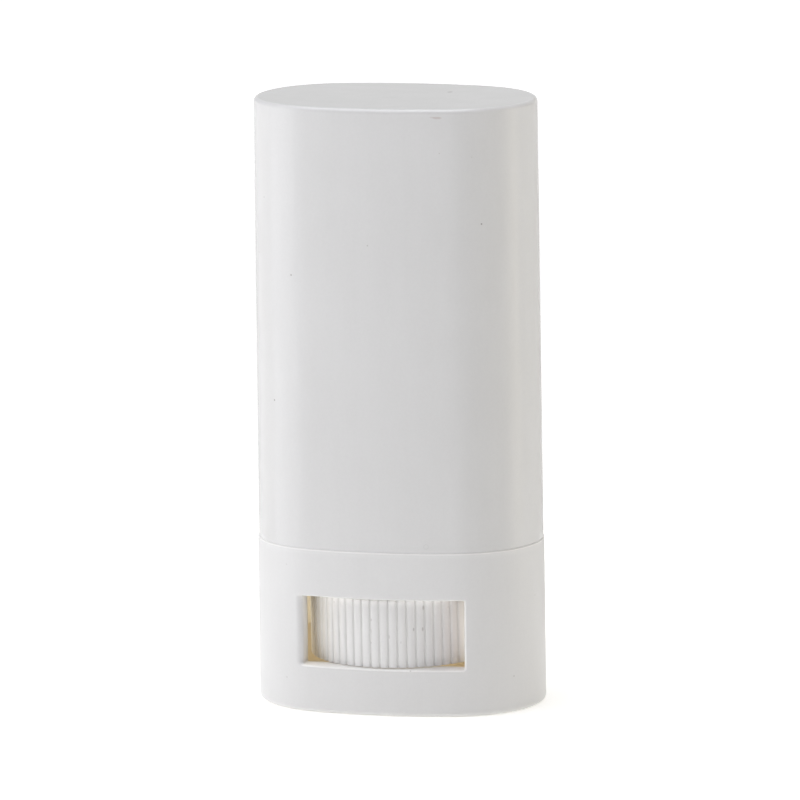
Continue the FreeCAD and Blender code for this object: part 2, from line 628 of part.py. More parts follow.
PARTS = [base, wheel, barrel, lift_cup, cap]
want = {
    "base_shell": (2 * (VAL["base_half_width"] + VAL["base_draft"]),
                   2 * (VAL["base_half_depth"] + VAL["base_draft"]), VAL["rim_height"]),
    "thumbwheel_screw": (2 * VAL["wheel_radius"], 2 * VAL["wheel_radius"],
                         VAL["screw_top"] - VAL["wheel_low"]),
    "outer_cap": (2 * (VAL["base_half_width"] - VAL["cap_inset"]),
                  2 * (VAL["base_half_depth"] - VAL["cap_inset"]), tall.v)}
os.makedirs("parts", exist_ok=True)
for body in PARTS:
    shape = body.Shape
    if shape.isNull() or not shape.isValid():
        raise RuntimeError(body.Label + " has no valid shape")
    if len(shape.Solids) != 1:
        raise RuntimeError("%s has %d solids" % (body.Label, len(shape.Solids)))
    box = shape.optimalBoundingBox(False)
    size = (box.XLength, box.YLength, box.ZLength)
    if body.Label in want:
        for got, exp in zip(size, want[body.Label]):
            if abs(got - exp) > 0.06:
                raise RuntimeError("%s measures %s, not %s" % (body.Label, size, want[body.Label]))
    print("%-18s solids %d  volume %9.2f mm3  z %.2f..%.2f  size %.2f x %.2f x %.2f" % (
        body.Label, len(shape.Solids), shape.Volume, box.ZMin, box.ZMax, *size))
for body in PARTS:
    body.Shape.exportStep("parts/%s.step" % body.Label)
print("written", len(PARTS), "parts")
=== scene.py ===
import math

import bmesh
import bpy
import numpy as np
from mathutils import Matrix, Vector


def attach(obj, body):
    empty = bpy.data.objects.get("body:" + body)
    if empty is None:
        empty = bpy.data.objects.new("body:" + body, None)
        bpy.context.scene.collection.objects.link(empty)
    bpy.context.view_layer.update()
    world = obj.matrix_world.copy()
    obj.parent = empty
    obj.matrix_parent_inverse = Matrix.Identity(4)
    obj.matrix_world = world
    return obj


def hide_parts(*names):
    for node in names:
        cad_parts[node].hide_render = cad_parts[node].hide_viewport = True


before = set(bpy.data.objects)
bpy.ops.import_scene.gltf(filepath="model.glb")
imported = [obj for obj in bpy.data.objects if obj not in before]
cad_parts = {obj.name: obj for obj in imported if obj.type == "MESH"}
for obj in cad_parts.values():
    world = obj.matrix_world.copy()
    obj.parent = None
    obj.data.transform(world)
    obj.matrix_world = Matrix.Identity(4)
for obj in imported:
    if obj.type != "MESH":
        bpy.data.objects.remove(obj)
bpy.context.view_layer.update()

# Oval twist-up stick container. Lengths below are in millimetres, as in the CAD
# model, and become metres when a mesh is made. Every shell is drawn on the same
# four-arc oval; "inset" is the distance from the oval of the base's upper rim.
MM = 0.001
EX, R0, B0 = 7.15, 11.85, 12.6
BIG = (EX * EX + B0 * B0 - R0 * R0) / (2 * (B0 - R0))
FI = math.atan2(BIG - B0, EX)
LEG = math.radians(48.0)
DEG = math.pi / 180.0


# ------------------------------------------------------------------ the oval
def oval_columns():
    """Centres, radii and outward normals of the columns round the oval."""
    q = np.concatenate([np.linspace(0, LEG, 31)[:-1], np.linspace(LEG, FI, 21)])
    end = np.concatenate([-q[::-1], q[1:]])
    side = np.linspace(FI, math.pi - FI, 61)[1:-1]
    th = np.concatenate([end, side, end + math.pi, side + math.pi])
    c = np.zeros((len(th), 2))
    r = np.zeros(len(th))
    k = 0
    for n, centre, radius in ((101, (EX, 0), R0), (59, (0, -(BIG - B0)), BIG),
                              (101, (-EX, 0), R0), (59, (0, BIG - B0), BIG)):
        c[k:k + n], r[k:k + n] = centre, radius
        k += n
    return th, c, r


TH, CEN, RAD = oval_columns()
NRM = np.stack([np.cos(TH), np.sin(TH)], 1)
NC = len(TH)
FRONT = [(244 + i) % NC for i in range(93)]      # columns across the front face
BACK = [84 + i for i in range(93)]               # and across the back face
LEGS = [list(range(20, 81)), list(range(180, 241))]   # columns over the skirt legs


def ring(inset, z):
    p = CEN + (RAD - inset)[:, None] * NRM
    return np.column_stack([p, np.broadcast_to(z, (NC,))])


def circle_like(radius, z, n=None):
    """A circle whose points lie in the same directions as the oval's columns."""
    if n is None:
        p = CEN + (RAD - 1.5)[:, None] * NRM
        a = np.arctan2(p[:, 1], p[:, 0])
    else:
        a = np.arange(n) * 2 * math.pi / n
    return np.column_stack([radius * np.cos(a), radius * np.sin(a), np.full(len(a), float(z))])


def oval_y(x, inset):
    """Half depth of the oval at x, and the outward normal there (x, y)."""
    ax = np.abs(x)
    r, big = R0 - inset, BIG - inset
    on_end = ax > EX + r * math.cos(FI)
    y = np.where(on_end, np.sqrt(np.maximum(r * r - (ax - EX) ** 2, 1e-9)),
                 np.sqrt(np.maximum(big * big - ax * ax, 1e-9)) - (BIG - B0))
    nx = np.where(on_end, (ax - EX) / r, ax / big)
    return y, np.sign(x) * nx, np.sqrt(np.maximum(1 - nx * nx, 0))


# ------------------------------------------------------------------- profiles
def profile(pts, step=2.2, support=0.07):
    """A polyline (inset or radius, z, corner radius) with its corners rounded,
    its long runs divided, and a support row beside each rounding."""
    p = np.array([[a[0], a[1]] for a in pts], float)
    out = []
    n = len(p)
    for i in range(n):
        rad = pts[i][2] if len(pts[i]) > 2 else 0
        if rad <= 0 or i in (0, n - 1):
            out.append(("c", [p[i]]))
            continue
        d1, d2 = p[i] - p[i - 1], p[i + 1] - p[i]
        d1, d2 = d1 / np.linalg.norm(d1), d2 / np.linalg.norm(d2)
        turn = math.acos(max(-1, min(1, float(d1 @ d2))))
        t = rad * math.tan(turn / 2)
        a, b = p[i] - d1 * t, p[i] + d2 * t
        side = np.array([-d1[1], d1[0]])
        if side @ d2 < 0:
            side = -side
        cen = a + side * rad
        m = max(3, int(math.ceil(turn / (9.5 * DEG)))) if rad >= 0.3 else max(
            3, int(math.ceil(turn / (18 * DEG))))
        u = -side
        arc = []
        for k in range(m + 1):
            w = turn * k / m
            arc.append(cen + rad * (u * math.cos(w) + d1 * math.sin(w)))
        out.append(("r", arc))
    rows = []
    for i, (kind, seg) in enumerate(out):
        if rows:
            a, b = rows[-1], np.array(seg[0])
            length = float(np.linalg.norm(b - a))
            if length > 1e-6:
                cuts = []
                soft_a, soft_b = out[i - 1][0] == "r", kind == "r"
                if soft_a and length > 3 * support:
                    cuts.append(support / length)
                if soft_b and length > 3 * support:
                    cuts.append(1 - support / length)
                m = int(math.ceil(length / step))
                cuts += [k / m for k in range(1, m)]
                cuts = sorted(cuts)
                keep = []
                for c in cuts:
                    if not keep or (c - keep[-1]) * length > support * 0.9:
                        keep.append(c)
                rows += [a + (b - a) * c for c in keep]
            else:
                seg = seg[1:]
        rows += [np.array(s) for s in seg]
    return rows


# --------------------------------------------------------------------- meshes
class Shell:
    """Points in millimetres and the faces between them."""

    def __init__(self):
        self.v, self.f, self.n, self.tags = [], [], 0, []

    def add(self, pts, tag=0.0):
        pts = np.asarray(pts, float).reshape(-1, 3)
        i = np.arange(len(pts)) + self.n
        self.v.append(pts)
        self.tags.append(np.zeros(len(pts)) + tag)
        self.n += len(pts)
        return i

    def strip(self, a, b, closed=True):
        a2, b2 = np.roll(a, -1), np.roll(b, -1)
        q = np.stack([a, a2, b2, b], 1)
        self.f += (q if closed else q[:-1]).tolist()

    def skin(self, rings, closed=True):
        for a, b in zip(rings[:-1], rings[1:]):
            self.strip(a, b, closed)

    def fan(self, a, tip):
        b = np.roll(a, -1)
        t = int(tip)
        self.f += [[int(x), int(y), t] for x, y in zip(a, b)]

    def disc(self, a, z, shrink=(0.8, 0.55, 0.3, 0.12), tag=0.0, dish=0.0):
        """Closes a flat ring with smaller and smaller copies of itself."""
        pts = np.concatenate(self.v)[a]
        last = a
        for s in shrink:
            q = pts * [s, s, 1]
            q[:, 2] = z - dish * (1 - s * s)
            nxt = self.add(q, tag)
            self.strip(last, nxt)
            last = nxt
        self.fan(last, self.add([[0, 0, z - dish]], tag)[0])

    def mesh(self, name, merge=2e-6):
        me = bpy.data.meshes.new(name)
        pts = np.concatenate(self.v) * MM
        me.from_pydata(pts.tolist(), [], self.f)
        # the inner attribute holds each point's tag: small values paint a highlight on edges, larger values paint a
        # warm, darker shade
        at = me.attributes.new("inner", "FLOAT", "POINT")
        at.data.foreach_set("value", np.concatenate(self.tags).astype(np.float32))
        bm = bmesh.new()
        bm.from_mesh(me)
        bmesh.ops.remove_doubles(bm, verts=bm.verts, dist=merge)
        bmesh.ops.dissolve_degenerate(bm, dist=1e-8, edges=bm.edges)
        loose = [v for v in bm.verts if not v.link_faces]
        bmesh.ops.delete(bm, geom=loose, context="VERTS")
        bmesh.ops.recalc_face_normals(bm, faces=bm.faces)
        bad = [e for e in bm.edges if len(e.link_faces) != 2]
        if bad:
            print("OPEN EDGES", name, len(bad), [tuple(round(c / MM, 2) for c in e.verts[0].co)
                                               for e in bad[:6]])
        bm.to_mesh(me)
        bm.free()
        return me


def lathe(sh, rows, tags=None):
    """Rings round the oval for a list of (inset, z)."""
    return [sh.add(ring(r[0], r[1]), 0.0 if tags is None else tags(r)) for r in rows]


def piece(name, me, body, node, material, smooth=35):
    me.shade_smooth()
    me.set_sharp_from_angle(angle=math.radians(smooth))
    ob = bpy.data.objects.new(name, me)
    bpy.context.scene.collection.objects.link(ob)
    me.materials.append(material)
    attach(ob, body)
    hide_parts(node)
    return ob


def joined(sh, blocks):
    """One mesh of the shell with small solid blocks united to it."""
    me = sh.mesh("united")
    ob = bpy.data.objects.new("united", me)
    bpy.context.scene.collection.objects.link(ob)
    made = []
    for b in blocks:
        o = bpy.data.objects.new("block", b.mesh("block"))
        bpy.context.scene.collection.objects.link(o)
        m = ob.modifiers.new("add", "BOOLEAN")
        m.operation, m.solver, m.object = "UNION", "EXACT", o
        made.append(o)
    bpy.context.view_layer.update()
    dg = bpy.context.evaluated_depsgraph_get()
    out = bpy.data.meshes.new_from_object(ob.evaluated_get(dg))
    for o in made + [ob]:
        bpy.data.objects.remove(o)
    out.materials.clear()
    return out


def rounded_bar(x0, x1, y0, y1, z0, z1, r=0.12):
    """A small block with rounded upright edges and a softened top."""
    sh = Shell()
    xs, ys = ((x0 + r, x1 - r), (y0 + r, y1 - r))
    loop = []
    for cx, cy, a0 in ((xs[1], ys[1], 0), (xs[0], ys[1], 90), (xs[0], ys[0], 180), (xs[1], ys[0], 270)):
        for k in range(5):
            a = math.radians(a0 + 22.5 * k)
            loop.append((cx, cy, math.cos(a), math.sin(a)))
    loop = np.array(loop)
    rings = []
    for rr, z in ((r, z0), (r, z1 - r), (r * 0.92, z1 - r * 0.62), (r * 0.7, z1 - r * 0.29),
                  (r * 0.38, z1 - r * 0.08), (0.0, z1)):
        rings.append(sh.add(np.column_stack([loop[:, 0] + rr * loop[:, 2],
                                             loop[:, 1] + rr * loop[:, 3],
                                             np.full(len(loop), z)])))
    sh.skin(rings)
    sh.f.append([int(i) for i in rings[0]])
    sh.f.append([int(i) for i in rings[-1]])
    return sh


# ------------------------------------------------------------------ outer cap
def cap_shell():
    sh = Shell()
    k = 0.22 / 58.15
    rows = profile([
        (1.40, 26.0), (1.40, 21.804, 0.12), (0.11, 21.804, 0.008), (0.11 + k * (80 - 21.85), 80.0, 0.6),
        (4.6, 80.0)])
    outer = lathe(sh, rows)
    sh.skin(outer)
    sh.disc(outer[-1], 80.0, shrink=(0.86, 0.7, 0.5, 0.3, 0.14, 0.05), dish=0.02)
    # a shallow lead-in chamfer inside the mouth, then the draughted bore and roof
    inner = profile([(1.40, 26.0), (1.45, 30.5), (1.70, 78.6, 0.7), (4.6, 78.6)])
    # the inside is tagged 1, which paints it with a slightly darker, warmer shade
    rings = lathe(sh, inner, lambda r: 1.0)
    sh.skin(rings)
    sh.disc(rings[-1], 78.6, shrink=(0.8, 0.5, 0.2), tag=1.0)
    return sh


# ----------------------------------------------------------------- base shell
def window_loop(nc, nr, rc=0.24, nk=3):
    """The window's outline (u across, z up) with the direction into the wall."""
    hw, z0, z1 = 10.85, 6.25, 15.5
    p = []

    def corner(cx, cz, a0, a1, ends):
        for a in np.linspace(a0, a1, nk + 1)[ends]:
            p.append((cx + rc * math.cos(a * DEG), cz + rc * math.sin(a * DEG),
                      math.cos(a * DEG), math.sin(a * DEG)))

    def run(xa, za, xb, zb, m, mu, mz):
        for t in np.linspace(0, 1, m + 1)[1:-1]:
            p.append((xa + (xb - xa) * t, za + (zb - za) * t, mu, mz))

    every, but_last = slice(None), slice(None, -1)
    L, R, D, U = -hw + rc, hw - rc, z0 + rc, z1 - rc
    corner(L, D, 225, 270, every)
    run(L, z0, R, z0, nc - 2 * nk, 0, -1)
    corner(R, D, 270, 315, but_last)
    corner(R, D, 315, 360, every)
    run(hw, D, hw, U, nr - 2 * nk, 1, 0)
    corner(R, U, 0, 45, but_last)
    corner(R, U, 45, 90, every)
    run(R, z1, L, z1, nc - 2 * nk, 0, 1)
    corner(L, U, 90, 135, but_last)
    corner(L, U, 135, 180, every)
    run(-hw, U, -hw, D, nr - 2 * nk, -1, 0)
    corner(L, D, 180, 225, but_last)
    return np.array(p)


def rectangle_loop(rows, cols):
    """Grid vertices round a block of rows, in the same order as window_loop."""
    c0, c1 = cols[0], cols[-1]
    out = [rows[0][c] for c in cols[:-1]]
    out += [r[c1] for r in rows[:-1]]
    out += [rows[-1][c] for c in cols[:0:-1]]
    out += [r[c0] for r in rows[:0:-1]]
    return np.array(out)


def base_inset(z):
    return -0.07 * (1 - z / 21.8)


def base_shell():
    sh = Shell()
    win_lo, win_hi, nr = 4.4, 17.3, 20
    band = np.linspace(win_lo, win_hi, nr + 1)
    # outer wall, from the foot's inner edge to the cavity's floor
    foot = profile([(1.9, 0.8), (1.9, 0.0, 0.12), (-0.07, 0.0, 0.65), (base_inset(win_lo), win_lo)], step=0.9)
    wall = [np.array([base_inset(z), z]) for z in band]
    rim = profile([(base_inset(win_hi), win_hi), (0.0, 21.8, 0.20), (1.5, 21.8, 0.12), (1.5, 19.3),
                   (1.2, 19.3), (1.2, 18.5), (1.5, 18.5), (1.5, win_hi)], step=0.9)
    cav = [np.array([1.5, z]) for z in band[::-1]]
    low = profile([(1.5, win_lo), (1.5, 2.2, 0.5), (3.4, 2.2)], step=0.9)
    # tags: 0 leaves the outer face plain; 1 paints the warm, darker shade of the cavity, its floor and the underside's
    # recess
    outside, inside = 0.0, 1.0
    A = [sh.add(ring(*r), 1.0 if r[0] > 1.85 else 0.0) for r in foot]
    W = [A[-1]] + [sh.add(ring(*r), outside) for r in wall[1:]]
    # painted highlight: the rim's rounded edge gets a small tag that lightens it, like the other thin edges; the rim's
    # inner faces take the painted warm shade
    rim_painted_highlight = lambda h: 0.075 * min(max((h - 21.5) / 0.1, 0.0), 1.0)
    Rm = [W[-1]] + [sh.add(ring(*r), rim_painted_highlight(r[1]) if r[0] < 1.0 or r[1] > 21.6 else 1.0) for r in rim[1:]]
    V = [Rm[-1]] + [sh.add(ring(*r), inside) for r in cav[1:]]
    Lw = [V[-1]] + [sh.add(ring(*r), inside) for r in low[1:]]
    sh.skin(A)
    sh.skin(Rm)
    sh.skin(Lw)
    hidden = set()
    for cols in (FRONT, BACK):
        hidden.update(cols[:-1])
    solid = [c for c in range(NC) if c not in hidden]
    for grid in (W, V):
        for a, b in zip(grid[:-1], grid[1:]):
            for c in solid:
                d = (c + 1) % NC
                sh.f.append([int(a[c]), int(a[d]), int(b[d]), int(b[c])])
    nc = len(FRONT) - 1
    loop = window_loop(nc, nr)
    u, z, mu, mz = loop.T
    # the left edge is the softest; the sill's edge and the right edge carry a painted highlight that lightens their
    # rounding
    rho = 0.25 + 0.35 * np.clip(-mu, 0, 1) ** 3 + 0.05 * np.clip(mu, 0, 1) ** 3
    pale_grain_and_edge_highlight = np.clip(np.maximum(mu, -mz), 0, 1) ** 2
    for cols, side in ((FRONT, -1), (BACK, 1)):
        sx = 1 if side < 0 else -1                    # u runs with the columns
        # a trace of flash along the head of the window, near one corner
        zz = z.copy()
        if side < 0:
            head = mz > 0.99
            bump = np.exp(-((u + 10.3) / 0.35) ** 2) + 0.8 * np.exp(-((u + 9.3) / 0.28) ** 2)
            zz = np.where(head, z - 0.07 * bump * (0.6 + 0.4 * np.sin(u * 9)), z)

        def at(uu, yy, hh, tag):
            return sh.add(np.column_stack([sx * uu, side * yy, hh]), tag)

        cu, cz = u + rho * mu, zz + rho * mz
        cy, nx, ny = oval_y(cu, base_inset(cz) + rho)
        d0 = np.column_stack([nx, ny, np.zeros(len(u))])
        d1 = np.column_stack([-mu, np.zeros(len(u)), -mz])
        ang = np.arccos(np.clip((d0 * d1).sum(1), -1, 1))[:, None]
        rings = []
        steps = 9
        first = None
        # the rounding's rings carry the painted highlight's tag
        for k in range(steps + 1):
            t = k / steps
            d = (np.sin((1 - t) * ang) * d0 + np.sin(t * ang) * d1) / np.sin(ang)
            q = np.column_stack([cu, cy, cz]) + rho[:, None] * d
            if first is None:
                first = q
            rings.append(at(q[:, 0], q[:, 1], q[:, 2], 0.10 * pale_grain_and_edge_highlight * min(1.0, k / 3)))
        blend = np.clip((np.abs(u) - (10.85 - 0.24)) / 0.24, 0, 1)
        yend = 8.9 - 1.0 * blend
        # painted shade: deeper into the window's reveal the tag grows, so the sill and jambs turn warmer and darker,
        # and the far walls take the full painted shade
        for t in (0.06, 0.35, 0.7, 0.95):
            y = cy + (yend - cy) * t
            rings.append(at(u, y, zz, np.maximum(0.06, 0.10 * pale_grain_and_edge_highlight) + (0.40 - 0.16 * pale_grain_and_edge_highlight) * t * t))
        rings.append(at(u + 0.05 * mu, yend, zz + 0.05 * mz, 0.5))
        rings.append(at(u + 0.95 * mu, yend, z + 0.95 * mz, 1.0))
        fu, fz = u + 1.0 * mu, z + 1.0 * mz
        rings.append(at(fu, yend + 0.05, fz, 1.0))
        ycav, _, _ = oval_y(fu, 1.5)
        rings.append(at(fu, ycav, fz, 1.0))
        sh.skin(rings)
        # the wall between the window and the plain columns, outside and inside
        for grid, start_u, start_z, inner, outer_rows, ins, tag in (
                (W, first[:, 0], first[:, 2], rings[0], W, base_inset, 0.0),
                (V, fu, fz, rings[-1], V[::-1], lambda h: 1.5 + 0 * h, 1.0)):
            edge = rectangle_loop(outer_rows, cols)
            pts = np.concatenate(sh.v)[edge]
            eu, ez = sx * pts[:, 0], pts[:, 2]
            last = inner
            for t in (0.045, 0.16, 0.32, 0.5, 0.68, 0.85):
                uu, hh = start_u + (eu - start_u) * t, start_z + (ez - start_z) * t
                yy, _, _ = oval_y(uu, ins(hh))
                nxt = at(uu, yy, hh, tag)
                sh.strip(last, nxt)
                last = nxt
            sh.strip(last, edge)
    # cavity floor, hub seat and pin
    last = Lw[-1]
    start = np.concatenate(sh.v)[last]
    target = circle_like(3.9, 2.2)
    for t in (0.25, 0.5, 0.75, 1.0):
        nxt = sh.add(start + (target - start) * t, inside)
        sh.strip(last, nxt)
        last = nxt
    for r, h in profile([(3.9, 2.2), (3.6, 2.5, 0), (3.6, 6.3, 0.1), (1.9, 6.3), (1.9, 11.0, 0.2), (0.9, 11.0)], step=1.5)[1:]:
        nxt = sh.add(circle_like(r, h), inside)
        sh.strip(last, nxt)
        last = nxt
    sh.fan(last, sh.add([[0, 0, 11.0]], inside)[0])
    # underside: recessed panel and the post's core
    last = A[0]
    start = np.concatenate(sh.v)[last]
    target = circle_like(1.1, 0.8)
    for t in (0.2, 0.45, 0.7, 0.9, 1.0):
        nxt = sh.add(start + (target - start) * t, 1.0)
        sh.strip(last, nxt)
        last = nxt
    for r, h in ((0.95, 0.85), (0.9, 1.0), (0.9, 5.0), (0.9, 9.8)):
        nxt = sh.add(circle_like(r, h), inside)
        sh.strip(last, nxt)
        last = nxt
    sh.fan(last, sh.add([[0, 0, 9.8]], inside)[0])
    return sh


# ----------------------------------------------------- thumbwheel, lead screw
def wheel_shell():
    sh = Shell()
    ribs, per = 62, 16
    n_rim = ribs * per
    n_in = n_rim // 8
    # sideways offsets of one rib's columns and the height of the rib there
    depth, r_out, crown, edge = 0.28, 12.05, 1.15, 0.20
    floor_r = r_out - depth
    ec, eh = 0.31, r_out - 0.31 ** 2 / (2 * crown) - edge
    half = [(q, r_out - q * q / (2 * crown)) for q in (0.0, 0.13, 0.25)]
    half += [(ec + edge * math.cos(a * DEG), eh + edge * math.sin(a * DEG)) for a in (72, 52, 31, 10)]
    half.append((0.545, floor_r))
    section = [(-q, h) for q, h in half[:0:-1]] + half
    pitch = 2 * math.pi / ribs
    phase = (-90 + 4.22) * DEG + pitch / 2
    phi, rad, crest = [], [], []
    for i in range(ribs):
        a0 = phase + i * pitch
        for s, h in section:
            phi.append(a0 + math.atan2(s, h))
            rad.append(math.hypot(s, h))
            crest.append(max(0.0, (rad[-1] - floor_r) / depth))
        phi.append(a0 + pitch / 2)
        rad.append(floor_r)
        crest.append(0.0)
    phi, rad, crest = map(np.array, (phi, rad, crest))
    zlo, zhi, rin = 6.35, 15.36, 10.4
    rnd = 0.42 - 0.20 * crest ** 0.7                    # rounding of the upper ends, groove to crest
    rlo = 0.13 - 0.05 * crest                           # the lower ends are nearly square

    def circ(r, z, tag=0.0, n=n_rim):
        a = phi if n == n_rim else np.arange(n_in) * 2 * math.pi / n_in + phi[4]
        r = np.broadcast_to(r, (n,))
        z = np.broadcast_to(z, (n,))
        return sh.add(np.column_stack([r * np.cos(a), r * np.sin(a), z]), tag)

    rings = []
    steps = 9
    # the rim's inner face, the web, the hub and the lead screw are tagged towards 1, which paints them with the
    # slightly darker, warmer inner shade
    rings.append(circ(rin, zlo + 0.3, 1.0))
    for w in (30, 60):
        rings.append(circ(rin + 0.3 * (1 - math.cos(w * DEG)), zlo + 0.3 * (1 - math.sin(w * DEG)), 0.7))
    rings.append(circ(rin + 0.3, zlo, 0.5))
    for k in range(steps + 1):
        w = math.pi / 2 * k / steps
        rings.append(circ(rad - rlo + rlo * math.sin(w), zlo + rlo * (1 - math.cos(w))))
    for z in (7.45, 8.4, 9.6, 10.825, 12.05, 13.25, 14.2):
        rings.append(circ(rad, z))
    # painted highlight: the upper ends of the crests get a small tag that lightens them
    for k in range(steps + 1):
        w = math.pi / 2 * k / steps
        rings.append(circ(rad - rnd + rnd * math.cos(w), zhi - rnd * (1 - math.sin(w)), 0.10 * crest))
    rings.append(circ(rin + 0.3, zhi, 0.5))
    for w in (60, 30):
        rings.append(circ(rin + 0.3 * (1 - math.cos(w * DEG)), zhi - 0.3 * (1 - math.sin(w * DEG)), 0.7))
    for z in (zhi - 0.3, 14.0, 12.8 + 0.25):
        rings.append(circ(rin, z, 1.0))
    rings.append(circ(rin - 0.07, 12.87, 1.0))
    rings.append(circ(rin - 0.25, 12.8, 1.0))
    top_edge = circ(8.6, 12.8, 1.0)
    rings.append(top_edge)
    low = [circ(rin, z, 1.0) for z in (8.2, 10.4, 11.35)] + [circ(rin - 0.07, 11.53, 1.0),
                                                           circ(rin - 0.25, 11.6, 1.0)]
    low_edge = circ(8.6, 11.6, 1.0)
    sh.skin(rings)
    sh.skin([rings[0]] + low + [low_edge])

    def reduce(outer, r, z):
        """Planar step from the fine rim to the coarser hub columns, 8 to 1."""
        inner = circ(r, z, 1.0, n_in)
        for j in range(n_in):
            k = (j + 1) % n_in
            base = 8 * j + 4
            o = [int(outer[(base + q) % n_rim]) for q in range(9)]
            for q in range(4):
                sh.f.append([int(inner[j]), o[q], o[q + 1]])
            sh.f.append([int(inner[j]), o[4], int(inner[k])])
            for q in range(4, 8):
                sh.f.append([int(inner[k]), o[q], o[q + 1]])
        return inner

    up = reduce(top_edge, 7.9, 12.8)
    last = up
    for r, z in profile([(7.9, 12.8), (4.9, 12.8), (4.9, 16.6, 0.12), (3.8, 16.6), (3.8, 19.2, 0.12), (2.6, 19.2)], step=1.6)[1:]:
        nxt = circ(r, z, 1.0, n_in)
        sh.strip(last, nxt)
        last = nxt
    down = reduce(low_edge, 7.9, 11.6)
    foot = down
    for r, z in profile([(7.9, 11.6), (4.2, 11.6), (4.2, 6.35, 0.12), (2.0, 6.35, 0.1), (2.0, 11.5), (0.8, 11.5)], step=1.6)[1:]:
        nxt = circ(r, z, 1.0, n_in)
        sh.strip(foot, nxt)
        foot = nxt
    sh.fan(foot, sh.add([[0, 0, 11.5]], 1.0)[0])

    # lead screw: a right-hand helical grid whose lines follow the thread
    pit, core, crest_r = 4.0, 2.6, 3.5
    prof = [(0.0, 0), (0.55, 0), (1.0, 0), (1.13, 0.03), (1.25, 0.2), (1.42, 0.72), (1.5, 0.92),
            (1.62, 1), (2.0, 1), (2.38, 1), (2.5, 0.92), (2.58, 0.72), (2.75, 0.2), (2.87, 0.03),
            (3.0, 0), (3.5, 0), (4.0, 0)]
    a0 = phi[4]
    turns = 15
    z_lo, z_hi = 19.2, 70.9
    # the thread's middle stands at +X at z = 21
    start = 21.0 - 2.0 + pit * (a0 / (2 * math.pi)) - pit
    cols = []
    for k in range(turns * n_in + 1):
        a = a0 + 2 * math.pi * k / n_in
        zb = start + pit * k / n_in
        mid = zb + 2.0
        fade = np.clip((mid - 21.0) / 0.55 + 0.4, 0, 1) * np.clip((70.0 - mid) / 0.55 + 0.4, 0, 1)
        fade = fade * fade * (3 - 2 * fade)
        row = []
        for s, h in prof:
            z = zb + s
            r = core + (crest_r - core) * h * fade
            if z < z_lo or z > z_hi:
                z, r = min(max(z, z_lo), z_hi), core
            row.append((r * math.cos(a), r * math.sin(a), z))
        cols.append(row)
    grid = np.array(cols)
    idx = sh.add(grid.reshape(-1, 3), 1.0).reshape(grid.shape[:2])
    for k in range(len(grid) - 1):
        for s in range(len(prof) - 1):
            z4 = grid[[k, k, k + 1, k + 1], [s, s + 1, s + 1, s], 2]
            if z4.max() <= z_lo + 1e-9 or z4.min() >= z_hi - 1e-9:
                continue
            sh.f.append([int(idx[k, s]), int(idx[k + 1, s]), int(idx[k + 1, s + 1]), int(idx[k, s + 1])])
    tip = circ(core, z_hi, 1.0, n_in)
    for r, z in profile([(core, z_hi), (core, 71.2, 0.1), (1.8, 72.0, 0.15), (0.7, 72.0)], step=1.0)[1:]:
        nxt = circ(r, z, 1.0, n_in)
        sh.strip(tip, nxt)
        tip = nxt
    sh.fan(tip, sh.add([[0, 0, 72.0]], 1.0)[0])
    # the rim hangs very slightly out of square on its thin web
    pts = np.concatenate(sh.v)
    rr = np.hypot(pts[:, 0], pts[:, 1])
    w = np.clip((rr - 5.2) / 4.8, 0, 1)
    w = w * w * (3 - 2 * w)
    tilt = math.radians(RIM_TILT)
    pts[:, 2] += w * math.sin(tilt) * pts[:, 0]
    pts[:, 0] -= w * math.sin(tilt) * (pts[:, 2] - 10.8) * (rr > 9.0)
    sh.v = [pts]
    return sh


RIM_TILT = 0.45


